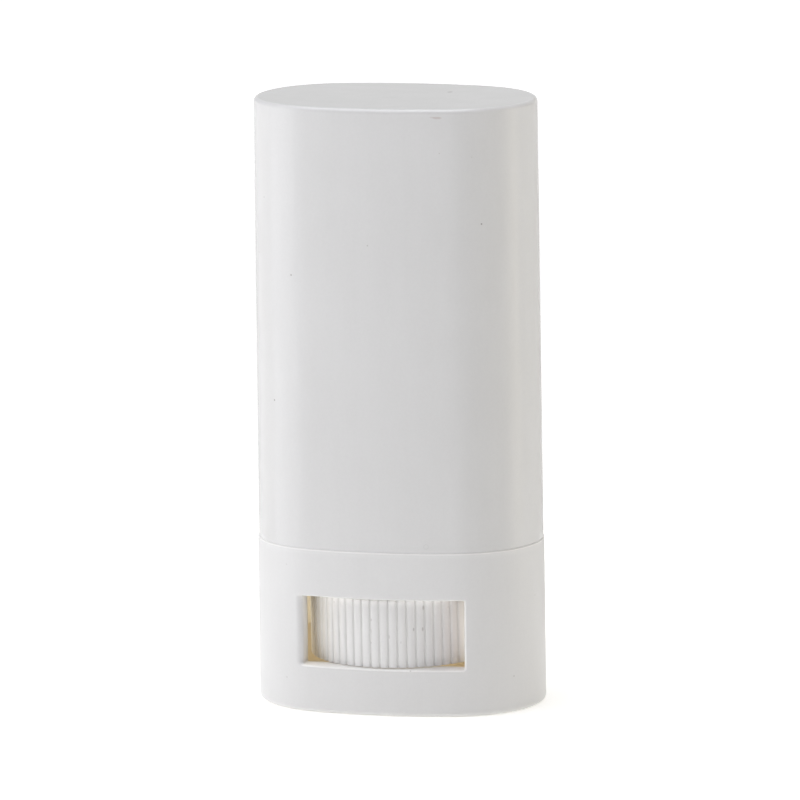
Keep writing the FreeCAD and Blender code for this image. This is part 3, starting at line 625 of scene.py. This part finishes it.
# --------------------------------------------------------------------- barrel
def barrel_shell():
    sh = Shell()
    k = 0.3 / 52.0
    rows = profile([
        (1.60, 16.75), (1.55, 16.85), (1.55, 18.6), (1.28, 18.75), (1.28, 19.05), (1.55, 19.2),
        (1.55, 21.4), (1.75, 21.5), (1.75 + k * 3.4, 24.4), (1.49, 24.4, 0.24), (1.49, 25.5, 0.24),
        (1.75 + k * 4.5, 25.5), (2.05, 73.0, 0.45), (3.15, 73.0, 0.3), (3.15, 18.8, 0.3), (4.4, 18.8)], step=2.4)
    # painted shade: below the seam, on the skirt legs and on the inner faces the barrel is tagged towards its warm
    # inner tone; the band above the seam stays plain
    R = lathe(sh, rows, lambda r: 0.0 if r[0] < 2.9 and r[1] > 21.45 else (0.6 if r[0] > 2.9 else 1.0))
    sh.skin(R)
    last = R[-1]
    start = np.concatenate(sh.v)[last]
    target = circle_like(5.2, 18.8)
    for t in (0.3, 0.65, 1.0):
        nxt = sh.add(start + (target - start) * t, 1.0)
        sh.strip(last, nxt)
        last = nxt
    for r, z in profile([(5.2, 18.8), (3.9, 18.8, 0.1), (3.9, 16.75), (5.6, 16.75), (5.6, 17.6), (6.3, 17.6)], step=1.2)[1:]:
        nxt = sh.add(circle_like(r, z), 1.0)
        sh.strip(last, nxt)
        last = nxt
    under = ring(2.7, 17.6)
    start = np.concatenate(sh.v)[last]
    for t in (0.4, 0.75):
        nxt = sh.add(start + (under - start) * t, 1.0)
        sh.strip(last, nxt)
        last = nxt
    a = sh.add(under, 1.0)
    sh.strip(last, a)
    b = sh.add(ring(2.7, 16.75), 1.0)
    sh.strip(a, b)
    first = R[0]
    # skirt legs carry the plug's wall down along the rounded ends of the base
    in_leg = np.zeros(NC, bool)
    for c in range(NC):
        for leg in LEGS:
            if c in leg[:-1]:
                in_leg[c] = True
    for c in range(NC):
        if not in_leg[c]:
            d = (c + 1) % NC
            sh.f.append([int(b[c]), int(b[d]), int(first[d]), int(first[c])])
    for leg in LEGS:
        leg = [c % NC for c in leg]
        o, i = first[leg], b[leg]
        for z, gap in ((15.0, 0.0), (12.0, 0.0), (9.6, 0.0), (8.25, 0.0), (8.14, 0.03), (8.1, 0.14)):
            no = sh.add(ring(1.60 + gap, z)[leg], 1.0)
            ni = sh.add(ring(2.70 - gap, z)[leg], 1.0)
            sh.strip(o, no, False)
            sh.strip(i, ni, False)
            for e in (0, -1):
                sh.f.append([int(o[e]), int(no[e]), int(ni[e]), int(i[e])])
            o, i = no, ni
        sh.strip(o, i, False)
    return sh


# ------------------------------------------------------------------- elevator
def elevator_shell():
    sh = Shell()
    rows = profile([(4.25, 22.4), (4.25, 19.6, 0.2), (3.35, 19.6, 0.25), (3.35, 30.0, 0.25),
                    (4.25, 30.0, 0.2), (4.25, 23.6, 0.3), (5.6, 23.6)], step=1.6)
    R = [sh.add(ring(*r), 0.0) for r in rows]
    sh.skin(R)
    last = R[-1]
    start = np.concatenate(sh.v)[last]
    target = circle_like(5.6, 23.6)
    for t in (0.35, 0.7, 1.0):
        nxt = sh.add(start + (target - start) * t)
        sh.strip(last, nxt)
        last = nxt
    for r, z in profile([(5.6, 23.6), (5.0, 23.6, 0.25), (5.0, 30.0, 0.2), (3.65, 30.0, 0.2), (3.65, 19.6, 0.1),
                         (5.0, 19.6, 0.1), (5.0, 22.4), (5.8, 22.4)], step=1.6)[1:]:
        nxt = sh.add(circle_like(r, z))
        sh.strip(last, nxt)
        last = nxt
    start = np.concatenate(sh.v)[last]
    target = ring(4.25, 22.4)
    for t in (0.4, 0.75):
        nxt = sh.add(start + (target - start) * t)
        sh.strip(last, nxt)
        last = nxt
    sh.strip(last, R[0])
    fin, far_x, far_y = 0.45, 15.2, 8.8
    blocks = [rounded_bar(4.7, far_x, -fin, fin, 23.3, 28.4), rounded_bar(-far_x, -4.7, -fin, fin, 23.3, 28.4),
              rounded_bar(-fin, fin, 4.7, far_y, 23.3, 28.4), rounded_bar(-fin, fin, -far_y, -4.7, 23.3, 28.4),
              rounded_bar(-1.3, 1.3, 2.75, 4.05, 23.5, 24.5), rounded_bar(-1.3, 1.3, -4.05, -2.75, 25.5, 26.5)]
    return joined(sh, blocks)


# ------------------------------------------------------------------ materials
class Nodes:
    """Short names for building a material."""

    def __init__(self, name):
        self.mat = bpy.data.materials.new(name)
        self.mat.use_nodes = True
        self.t = self.mat.node_tree
        self.bsdf = self.t.nodes["Principled BSDF"]
        self.coord = self.t.nodes.new("ShaderNodeTexCoord").outputs["Object"]

    def link(self, a, b):
        self.t.links.new(a, b)

    def new(self, kind, **values):
        n = self.t.nodes.new("ShaderNode" + kind)
        for k, v in values.items():
            setattr(n, k, v)
        return n

    def noise(self, scale, detail=3.0, rough=0.55, vector=None, dist=0.0):
        n = self.new("TexNoise")
        n.inputs["Scale"].default_value = scale
        n.inputs["Detail"].default_value = detail
        n.inputs["Roughness"].default_value = rough
        n.inputs["Distortion"].default_value = dist
        self.link(self.coord if vector is None else vector, n.inputs["Vector"])
        return n.outputs["Fac"]

    def remap(self, x, a, b, c, d, smooth=False):
        n = self.new("MapRange", clamp=True)
        if smooth:
            n.interpolation_type = "SMOOTHSTEP"
        self.link(x, n.inputs["Value"])
        for key, v in (("From Min", a), ("From Max", b), ("To Min", c), ("To Max", d)):
            n.inputs[key].default_value = v
        return n.outputs["Result"]

    def math(self, op, a, b=None):
        n = self.new("Math", operation=op)
        for i, x in enumerate((a, b)):
            if x is None:
                continue
            if isinstance(x, (int, float)):
                n.inputs[i].default_value = x
            else:
                self.link(x, n.inputs[i])
        return n.outputs[0]

    def mix(self, fac, a, b, mode="MIX"):
        n = self.new("Mix", data_type="RGBA", blend_type=mode)
        for key, x in ((0, fac), (6, a), (7, b)):
            if isinstance(x, (int, float)):
                n.inputs[key].default_value = x
            elif isinstance(x, tuple):
                n.inputs[key].default_value = (*x, 1.0)
            else:
                self.link(x, n.inputs[key])
        return n.outputs[2]

    def scaled(self, sx, sy, sz, off=(0, 0, 0)):
        n = self.new("Mapping")
        n.inputs["Scale"].default_value = (sx, sy, sz)
        n.inputs["Location"].default_value = off
        self.link(self.coord, n.inputs["Vector"])
        return n.outputs["Vector"]

    def spot(self, at, size, edge=0.5):
        """1 inside an ellipsoid of these half sizes (mm) about a point, 0 outside."""
        sub = self.new("VectorMath", operation="SUBTRACT")
        self.link(self.coord, sub.inputs[0])
        sub.inputs[1].default_value = [c * MM for c in at]
        mul = self.new("VectorMath", operation="MULTIPLY")
        self.link(sub.outputs[0], mul.inputs[0])
        mul.inputs[1].default_value = [1.0 / (s * MM) for s in size]
        ln = self.new("VectorMath", operation="LENGTH")
        self.link(mul.outputs[0], ln.inputs[0])
        return self.remap(ln.outputs["Value"], edge, 1.0, 1.0, 0.0, True)


def plastic(name, colour, shade, rough, grain, wave, speck=0.5, inner=None, marks=(), gloss=0.5, sss=0.0):
    """Moulded polypropylene: slow tone drift, faint flow marks, fine grain, a slightly
    uneven gloss, tiny dark specks in the resin, a painted highlight on thin edges and
    a painted warmer, darker shade on inner and recessed faces."""
    m = Nodes(name)
    drift = m.noise(55.0, 2.0, 0.5)
    flow = m.noise(1.0, 3.0, 0.6, m.scaled(420.0, 420.0, 60.0))
    tone = m.remap(m.math("ADD", m.math("MULTIPLY", drift, 0.65), m.math("MULTIPLY", flow, 0.35)), 0.36, 0.64, 0.0, 1.0)
    col = m.mix(tone, colour, shade)
    fine = m.noise(2900.0, 2.0, 0.6)
    pale_grain_and_edge_highlight, dull = m.mix(1.0, col, (1.006, 1.006, 1.006), "MULTIPLY"), m.mix(1.0, col, (0.992, 0.992, 0.993), "MULTIPLY")
    col = m.mix(m.remap(fine, 0.35, 0.65, 0.0, 1.0), pale_grain_and_edge_highlight, dull)
    if inner is not None:
        a = m.new("Attribute", attribute_name="inner")
        uneven = m.noise(240.0, 3.0, 0.6)
        painted_shade_amount = m.math("MULTIPLY", a.outputs["Fac"], m.remap(uneven, 0.3, 0.7, 0.86, 1.0))
        # painted highlight: small values of the inner attribute lighten thin rounded edges towards a paler tint, as if
        # they caught more light
        col = m.mix(m.remap(a.outputs["Fac"], 0.0, 0.10, 0.0, 1.0, True), col, EDGE_HIGHLIGHT_TINT)
        # painted shade: larger values turn inner and recessed faces towards the material's inner tone, a warmer, darker
        # shade standing in for the dim light inside
        col = m.mix(m.remap(painted_shade_amount, 0.12, 0.9, 0.0, 1.0), col, inner)
    vor = m.new("TexVoronoi")
    vor.inputs["Scale"].default_value = 210.0
    m.link(m.coord, vor.inputs["Vector"])
    near = m.remap(vor.outputs["Distance"], 0.012, 0.03, 1.0, 0.0)
    sep = m.new("SeparateColor")
    m.link(vor.outputs["Color"], sep.inputs[0])
    rare = m.math("GREATER_THAN", sep.outputs[0], 0.55)
    dirt = m.math("MULTIPLY", m.math("MULTIPLY", near, rare), speck)
    col = m.mix(dirt, col, (0.23, 0.19, 0.15))
    for at, size, tint, amount in marks:
        col = m.mix(m.math("MULTIPLY", m.spot(at, size), amount), col, tint)
    m.link(col, m.bsdf.inputs["Base Color"])
    r = m.remap(m.noise(130.0, 4.0, 0.6), 0.3, 0.7, rough * 0.88, rough * 1.14)
    m.link(r, m.bsdf.inputs["Roughness"])
    m.bsdf.inputs["Specular IOR Level"].default_value = gloss
    m.bsdf.inputs["IOR"].default_value = 1.49
    if sss:
        m.bsdf.inputs["Subsurface Weight"].default_value = sss
        m.bsdf.inputs["Subsurface Radius"].default_value = (1.0, 0.95, 0.88)
        m.bsdf.inputs["Subsurface Scale"].default_value = 0.00035
    slow = m.noise(1.0, 2.0, 0.5, m.scaled(150.0, 150.0, 70.0))
    b1 = m.new("Bump")
    b1.inputs["Strength"].default_value = 1.0
    b1.inputs["Distance"].default_value = wave * MM
    m.link(slow, b1.inputs["Height"])
    b2 = m.new("Bump")
    b2.inputs["Strength"].default_value = 1.0
    b2.inputs["Distance"].default_value = grain * MM
    m.link(m.noise(3600.0, 3.0, 0.6), b2.inputs["Height"])
    m.link(b1.outputs["Normal"], b2.inputs["Normal"])
    m.link(b2.outputs["Normal"], m.bsdf.inputs["Normal"])
    return m.mat


WHITE, SHADE = (0.755, 0.75, 0.742), (0.732, 0.727, 0.718)
# painted highlight tint for thin rounded edges, and the base's painted warm cavity shade
EDGE_HIGHLIGHT_TINT = (0.93, 0.918, 0.90)
WARM_CAVITY_SHADE = (0.80, 0.70, 0.52)

# moulding marks and resin specks: centre and half sizes in mm, tint, strength
SPECK, RUST = (0.22, 0.19, 0.16), (0.46, 0.34, 0.30)
CAP_MARKS = (
    ((6.28, 4.5, 80.0), (0.42, 0.85, 0.3), (0.45, 0.43, 0.41), 0.40),
    ((8.18, -11.55, 78.95), (0.72, 0.6, 0.20), RUST, 0.34),
    ((7.55, -11.6, 79.02), (0.42, 0.6, 0.12), RUST, 0.22),
    ((13.48, -9.71, 64.97), (0.15, 0.15, 0.15), SPECK, 0.65),
    ((-11.72, -10.68, 57.82), (0.14, 0.14, 0.16), SPECK, 0.6),
    ((-15.97, -7.5, 67.47), (0.13, 0.13, 0.13), SPECK, 0.35),
    ((-14.62, -8.97, 40.93), (0.17, 0.17, 0.17), SPECK, 0.6),
    ((-17.17, -5.85, 59.92), (0.5, 0.55, 0.09), (0.5, 0.47, 0.43), 0.25),
    ((6.14, -12.09, 22.68), (0.44, 0.5, 0.44), (0.52, 0.51, 0.50), 0.30),
    ((6.14, -12.09, 22.68), (0.34, 0.5, 0.34), WHITE, 0.9),
)
BASE_MARKS = (
    ((16.6, -7.24, 4.87), (0.14, 0.14, 0.14), SPECK, 0.28),
    ((-13.21, -10.25, 4.29), (0.14, 0.14, 0.12), SPECK, 0.26),
    ((-13.0, -10.3, 19.4), (0.12, 0.12, 0.12), SPECK, 0.2),
)
WHEEL_MARKS = (
    ((-1.38, -11.94, 12.69), (0.13, 0.40, 0.24), SPECK, 0.30),
    ((-1.42, -11.9, 11.2), (0.12, 0.40, 0.44), SPECK, 0.20),
    ((-1.43, -11.9, 9.61), (0.12, 0.40, 0.18), SPECK, 0.28),
    ((1.01, -11.96, 10.51), (0.12, 0.40, 0.36), SPECK, 0.25),
    ((4.15, -11.2, 11.48), (0.12, 0.50, 0.30), SPECK, 0.33),
    ((5.35, -10.75, 14.3), (0.12, 0.50, 0.44), SPECK, 0.35),
    ((5.25, -10.8, 11.47), (0.12, 0.50, 0.34), SPECK, 0.30),
    ((2.55, -11.75, 9.8), (0.10, 0.40, 0.24), SPECK, 0.15),
    ((-6.78, -10.0, 14.5), (0.10, 0.30, 0.11), SPECK, 0.25),
    ((8.2, -8.7, 14.1), (0.10, 0.30, 0.10), RUST, 0.25),
)
# each inner tone is painted shade, a darker and warmer colour for the tagged inner and recessed faces
mat_cap = plastic("cap_white_gloss", WHITE, SHADE, 0.16, 0.0007, 0.02, 0.3, inner=(0.80, 0.785, 0.75), marks=CAP_MARKS)
mat_base = plastic("base_white_satin", (0.792, 0.787, 0.778), (0.770, 0.764, 0.755), 0.34, 0.003, 0.012, 0.3,
                   inner=WARM_CAVITY_SHADE, marks=BASE_MARKS)
mat_wheel = plastic("wheel_white_satin", (0.86, 0.853, 0.838), (0.84, 0.832, 0.818), 0.30, 0.003, 0.006, 0.7,
                    inner=(0.84, 0.83, 0.81), marks=WHEEL_MARKS)
mat_barrel = plastic("barrel_natural_white", (0.80, 0.795, 0.78), (0.78, 0.77, 0.755), 0.3, 0.0015, 0.012, 0.1,
                     inner=(0.80, 0.71, 0.55))
mat_lift = plastic("elevator_white", (0.83, 0.825, 0.815), (0.80, 0.795, 0.785), 0.36, 0.002, 0.01, 0.1)


# ---------------------------------------------------------------- the pieces
cap = piece("outer_cap_moulding", cap_shell().mesh("outer_cap_moulding"), "cap", "outer_cap", mat_cap)
base = piece("base_shell_moulding", base_shell().mesh("base_shell_moulding"), "root", "base_shell", mat_base)
wheel = piece("thumbwheel_moulding", wheel_shell().mesh("thumbwheel_moulding"), "wheel", "thumbwheel_screw",
              mat_wheel, smooth=50)
barrel = piece("barrel_moulding", barrel_shell().mesh("barrel_moulding"), "root", "barrel", mat_barrel)
lift = piece("elevator_moulding", elevator_shell(), "carrier", "elevator", mat_lift)

# ------------------------------------------------------------ floor and light
LIGHTS = {
    "floor": (1.000, 0.987, 0.928, 0.412),
    "world": (0.901, 0.902, 1.000, 0.198),
    "cove": (1.000, 1.000, 1.000, 1.050),
    "top": (0.974, 0.979, 1.000, 3.317),
    "back": (0.996, 1.000, 0.883, 0.287),
    "far": (0.920, 0.935, 1.000, 0.208),
    "key_side": (0.882, 0.918, 1.000, 0.402),
    "l1": (0.964, 0.968, 1.000, 0.905),
    "l1b": (0.786, 0.863, 1.000, 0.318),
    "l2": (1.000, 0.910, 0.466, 0.053),
    "l3": (1.000, 1.000, 1.000, 0.350),
    "r2": (1.000, 0.863, 0.526, 0.629),
    "r3": (1.0, 1.0, 1.0, 0.0),
    "rear": (1.000, 1.000, 1.000, 0.450),
    "glow_l": (0.989, 1.000, 0.949, 1.410),
    "glow_r": (1.000, 0.950, 0.830, 1.150),
    "gap": (1.000, 0.940, 0.820, 0.200),
    "limb_l": (1.000, 0.955, 0.860, 1.180),
    "limb_r": (1.000, 0.982, 0.972, 1.480),
    "jamb_l": (1.000, 0.940, 0.803, 0.574),
    "jamb_r": (1.000, 0.147, 0.000, 0.068),
}
# the ring of upright cards round the object: bearings in degrees from the front,
# to the right, of each card's two edges
CARDS = {
    "l1": (-90, -52), "l1b": (-52, -44), "l2": (-120, -90), "l3": (-150, -120),
    "r2": (82, 106), "r3": (106, 150), "rear": (150, 210),
}

scene = bpy.context.scene
world = bpy.data.worlds.new("studio")
scene.world = world
world.use_nodes = True
wt = world.node_tree
bg = wt.nodes["Background"]
# a pale cove runs all round near the horizon, and the room is dimmer overhead
wc = wt.nodes.new("ShaderNodeTexCoord")
wz = wt.nodes.new("ShaderNodeSeparateXYZ")
wr = wt.nodes.new("ShaderNodeMapRange")
wr.interpolation_type = "SMOOTHSTEP"
wr.inputs["From Min"].default_value, wr.inputs["From Max"].default_value = 0.03, 0.07
wm = wt.nodes.new("ShaderNodeMix")
wm.data_type = "RGBA"
wt.links.new(wc.outputs["Generated"], wz.inputs[0])
wt.links.new(wz.outputs["Z"], wr.inputs["Value"])
wt.links.new(wr.outputs["Result"], wm.inputs[0])
wm.inputs[6].default_value = (*[c * LIGHTS["cove"][3] for c in LIGHTS["cove"][:3]], 1.0)
wm.inputs[7].default_value = (*[c * LIGHTS["world"][3] for c in LIGHTS["world"][:3]], 1.0)
wt.links.new(wm.outputs[2], bg.inputs["Color"])
bg.inputs["Strength"].default_value = 1.0

fm = bpy.data.materials.new("studio_table")
fm.use_nodes = True
ft = fm.node_tree
fb = ft.nodes["Principled BSDF"]
fn = ft.nodes.new("ShaderNodeTexNoise")
fn.inputs["Scale"].default_value = 900.0
fr = ft.nodes.new("ShaderNodeMapRange")
fr.inputs["To Min"].default_value = 0.5
fr.inputs["To Max"].default_value = 0.62
ft.links.new(fn.outputs["Fac"], fr.inputs["Value"])
ft.links.new(fr.outputs["Result"], fb.inputs["Roughness"])
fb.inputs["Base Color"].default_value = (0.86, 0.86, 0.86, 1)
fb.inputs["Specular IOR Level"].default_value = 0.2
# the table glows, and a little more strongly well away from the object
fo = ft.nodes.new("ShaderNodeTexCoord")
fz = ft.nodes.new("ShaderNodeVectorMath")
fz.operation = "LENGTH"
fd = ft.nodes.new("ShaderNodeMapRange")
fd.interpolation_type = "SMOOTHSTEP"
fd.inputs["From Min"].default_value, fd.inputs["From Max"].default_value = 0.28, 0.60
fx = ft.nodes.new("ShaderNodeMix")
fx.data_type = "RGBA"
ft.links.new(fo.outputs["Object"], fz.inputs[0])
ft.links.new(fz.outputs["Value"], fd.inputs["Value"])
ft.links.new(fd.outputs["Result"], fx.inputs[0])
near_glow = [c * LIGHTS["floor"][3] for c in LIGHTS["floor"][:3]]
far_glow = [c * LIGHTS["far"][3] for c in LIGHTS["far"][:3]]
fx.inputs[6].default_value = (*near_glow, 1.0)
fx.inputs[7].default_value = (*[a + b for a, b in zip(near_glow, far_glow)], 1.0)
# far off, where the softbox no longer reaches, it glows enough to stay white
fe = ft.nodes.new("ShaderNodeMapRange")
fe.interpolation_type = "SMOOTHSTEP"
fe.inputs["From Min"].default_value, fe.inputs["From Max"].default_value = 0.75, 1.6
fy = ft.nodes.new("ShaderNodeMix")
fy.data_type = "RGBA"
ft.links.new(fz.outputs["Value"], fe.inputs["Value"])
ft.links.new(fe.outputs["Result"], fy.inputs[0])
ft.links.new(fx.outputs[2], fy.inputs[6])
fy.inputs[7].default_value = (0.98, 0.98, 0.98, 1.0)
ft.links.new(fy.outputs[2], fb.inputs["Emission Color"])
fb.inputs["Emission Strength"].default_value = 1.0
fl = bpy.data.meshes.new("studio_floor")
fl.from_pydata([(-4, -4, 0), (4, -4, 0), (4, 4, 0), (-4, 4, 0)], [], [(0, 1, 2, 3)])
fl.materials.append(fm)
floor = bpy.data.objects.new("studio_floor", fl)
scene.collection.objects.link(floor)


def panel(name, centre, facing, width, height, key):
    """A soft rectangular light. Strength is its radiance, white paper being 1."""
    col = LIGHTS[key]
    data = bpy.data.lights.new(name, "AREA")
    data.shape = "RECTANGLE"
    data.size, data.size_y = width, height
    data.color = col[:3]
    data.energy = col[3] * width * height * math.pi
    ob = bpy.data.objects.new(name, data)
    z = (Vector(centre) - Vector(facing)).normalized()
    x = Vector((0, 0, 1)).cross(z)
    x = x.normalized() if x.length > 1e-3 else Vector((1, 0, 0))
    y = z.cross(x)
    ob.matrix_world = Matrix.Translation(centre) @ Matrix((x, y, z)).transposed().to_4x4()
    ob.visible_camera = False
    scene.collection.objects.link(ob)
    return ob


def upright_panel(name, a, b, z0, z1, key):
    """A panel standing between two points of the plan, facing the object."""
    a, b = Vector((*a, 0)), Vector((*b, 0))
    mid = (a + b) / 2
    along = (b - a).normalized()
    n = Vector((along.y, -along.x, 0))
    if n.dot(-mid) < 0:
        n = -n
    centre = Vector((mid.x, mid.y, (z0 + z1) / 2))
    return panel(name, centre, centre + n, (b - a).length, z1 - z0, key)


for key, (b0, b1) in CARDS.items():
    ends = [(0.13 * math.sin(b * DEG), -0.13 * math.cos(b * DEG)) for b in (b0, b1)]
    card = upright_panel("card_" + key, ends[0], ends[1], 0.0, 0.17, key)
    # the cards behind light the back but leave no glare along the outline
    card.visible_glossy = key not in ("l3", "rear")
upright_panel("glow_back", (-0.7, 1.3), (0.7, 1.3), 0.05, 1.1, "back")
panel("softbox_top", (-0.10, -0.05, 0.85), (0.0, 0.0, 0.04), 0.75, 0.75, "top")
panel("softbox_key_side", (-0.66, -0.36, 0.50), (0.0, 0.0, 0.03), 0.34, 0.34, "key_side")


# light that comes through the thin walls: a panel beside the wheel that faces the cavity's
# left rear corner, two that face the wheel's own sides, and two discs just under the wheel
# that face the floor and, faintly, the sill
for glow in (panel("inner_glow_left", (-0.0136, 0.0015, 0.0108), (-0.0165, 0.0085, 0.0100), 0.0085, 0.0085, "glow_l"),
             panel("inner_glow_side_left", (-0.0152, -0.0036, 0.0100), (-0.0117, -0.00275, 0.0096), 0.0070, 0.0070, "limb_l"),
             panel("inner_glow_side_right", (0.0130, -0.0072, 0.0108), (0.0098, -0.0074, 0.0108), 0.0030, 0.0085, "limb_r"),
             panel("inner_glow_floor", (0.0, 0.0, 0.0062), (0.0, 0.0, 0.0020), 0.0172, 0.0172, "glow_r"),
             panel("inner_glow_gap", (0.0, 0.0, 0.0063), (0.0, 0.0, 0.0020), 0.0236, 0.0236, "gap")):
    glow.visible_glossy = False
    if glow.name in ("inner_glow_floor", "inner_glow_gap"):
        glow.data.shape = "DISK"
        glow.data.energy *= math.pi / 4

for side, key in ((-1, "jamb_l"), (1, "jamb_r")):
    # light that leaks through the upright edges of the front window
    leak = panel("window_leak_" + key, (side * 0.01083, -0.0102, 0.0109), (0.0, -0.0102, 0.0109), 0.0028, 0.0085, key)
    leak.visible_glossy = False

# a dark flag with soft edges, seen only in the gloss, keeps the right of the front dark
fb2 = bpy.data.materials.new("studio_flag")
fb2.use_nodes = True
f2 = fb2.node_tree
dark = f2.nodes["Principled BSDF"]
dark.inputs["Base Color"].default_value = (0.0, 0.0, 0.0, 1)
dark.inputs["Specular IOR Level"].default_value = 0.0
dark.inputs["Roughness"].default_value = 1.0
clear = f2.nodes.new("ShaderNodeBsdfTransparent")
blend = f2.nodes.new("ShaderNodeMixShader")
cover = f2.nodes.new("ShaderNodeAttribute")
cover.attribute_name = "cover"
f2.links.new(cover.outputs["Fac"], blend.inputs[0])
f2.links.new(clear.outputs[0], blend.inputs[1])
f2.links.new(dark.outputs[0], blend.inputs[2])
f2.links.new(blend.outputs[0], f2.nodes["Material Output"].inputs["Surface"])
fv, ff, fa = [], [], []
# (first and last bearing, width of the two soft ends, strength, height); the second arc
# stands behind, no higher than the object, and keeps glare off the outline
for b0, b1, soft0, soft1, strength, tall in ((10, 98, 38, 28, 1.0, 0.16), (98, 262, 50, 50, 0.34, 0.0795)):
    for i in range(41):
        b = b0 + (b1 - b0) * i / 40
        fv += [(0.05 * math.sin(b * DEG), -0.05 * math.cos(b * DEG), z) for z in (0.0005, tall)]
        rise, fall = min(1.0, (b - b0) / soft0), min(1.0, (b1 - b) / soft1)
        fa += [max(0.0, strength * rise * rise * (3 - 2 * rise) * fall * fall * (3 - 2 * fall))] * 2
        if i:
            k = len(fv) - 4
            ff.append((k, k + 2, k + 3, k + 1))
fm2 = bpy.data.meshes.new("studio_flag")
fm2.from_pydata(fv, [], ff)
fm2.attributes.new("cover", "FLOAT", "POINT").data.foreach_set("value", fa)
fm2.materials.append(fb2)
flag = bpy.data.objects.new("studio_flag", fm2)
scene.collection.objects.link(flag)
flag.visible_camera = flag.visible_diffuse = flag.visible_shadow = False
flag.visible_transmission = flag.visible_volume_scatter = False

# --------------------------------------------------------------------- camera
YAW, EL, ROLL, DIST = math.radians(13.21), math.radians(10.37), math.radians(-0.75), 1.0671
back = Vector((math.sin(YAW) * math.cos(EL), -math.cos(YAW) * math.cos(EL), math.sin(EL)))
look = Vector((0, 0, 0.040))
right = (-back).cross(Vector((0, 0, 1))).normalized()
up = right.cross(-back).normalized()
eye = look + back * DIST
cr = math.cos(ROLL) * right + math.sin(ROLL) * up
cu = -math.sin(ROLL) * right + math.cos(ROLL) * up
aim = look + cr * (0.09 * MM) - cu * (0.27 * MM)
zc = (eye - aim).normalized()
xc = (cr - zc * cr.dot(zc)).normalized()
yc = zc.cross(xc)
cam = bpy.data.objects.new("camera", bpy.data.cameras.new("camera"))
cam.data.sensor_width = 36.0
cam.data.lens = 366.2
cam.data.clip_start, cam.data.clip_end = 0.05, 20.0
cam.matrix_world = Matrix.Translation(eye) @ Matrix((xc, yc, zc)).transposed().to_4x4()
scene.collection.objects.link(cam)
scene.camera = cam
scene.view_settings.view_transform = "Standard"
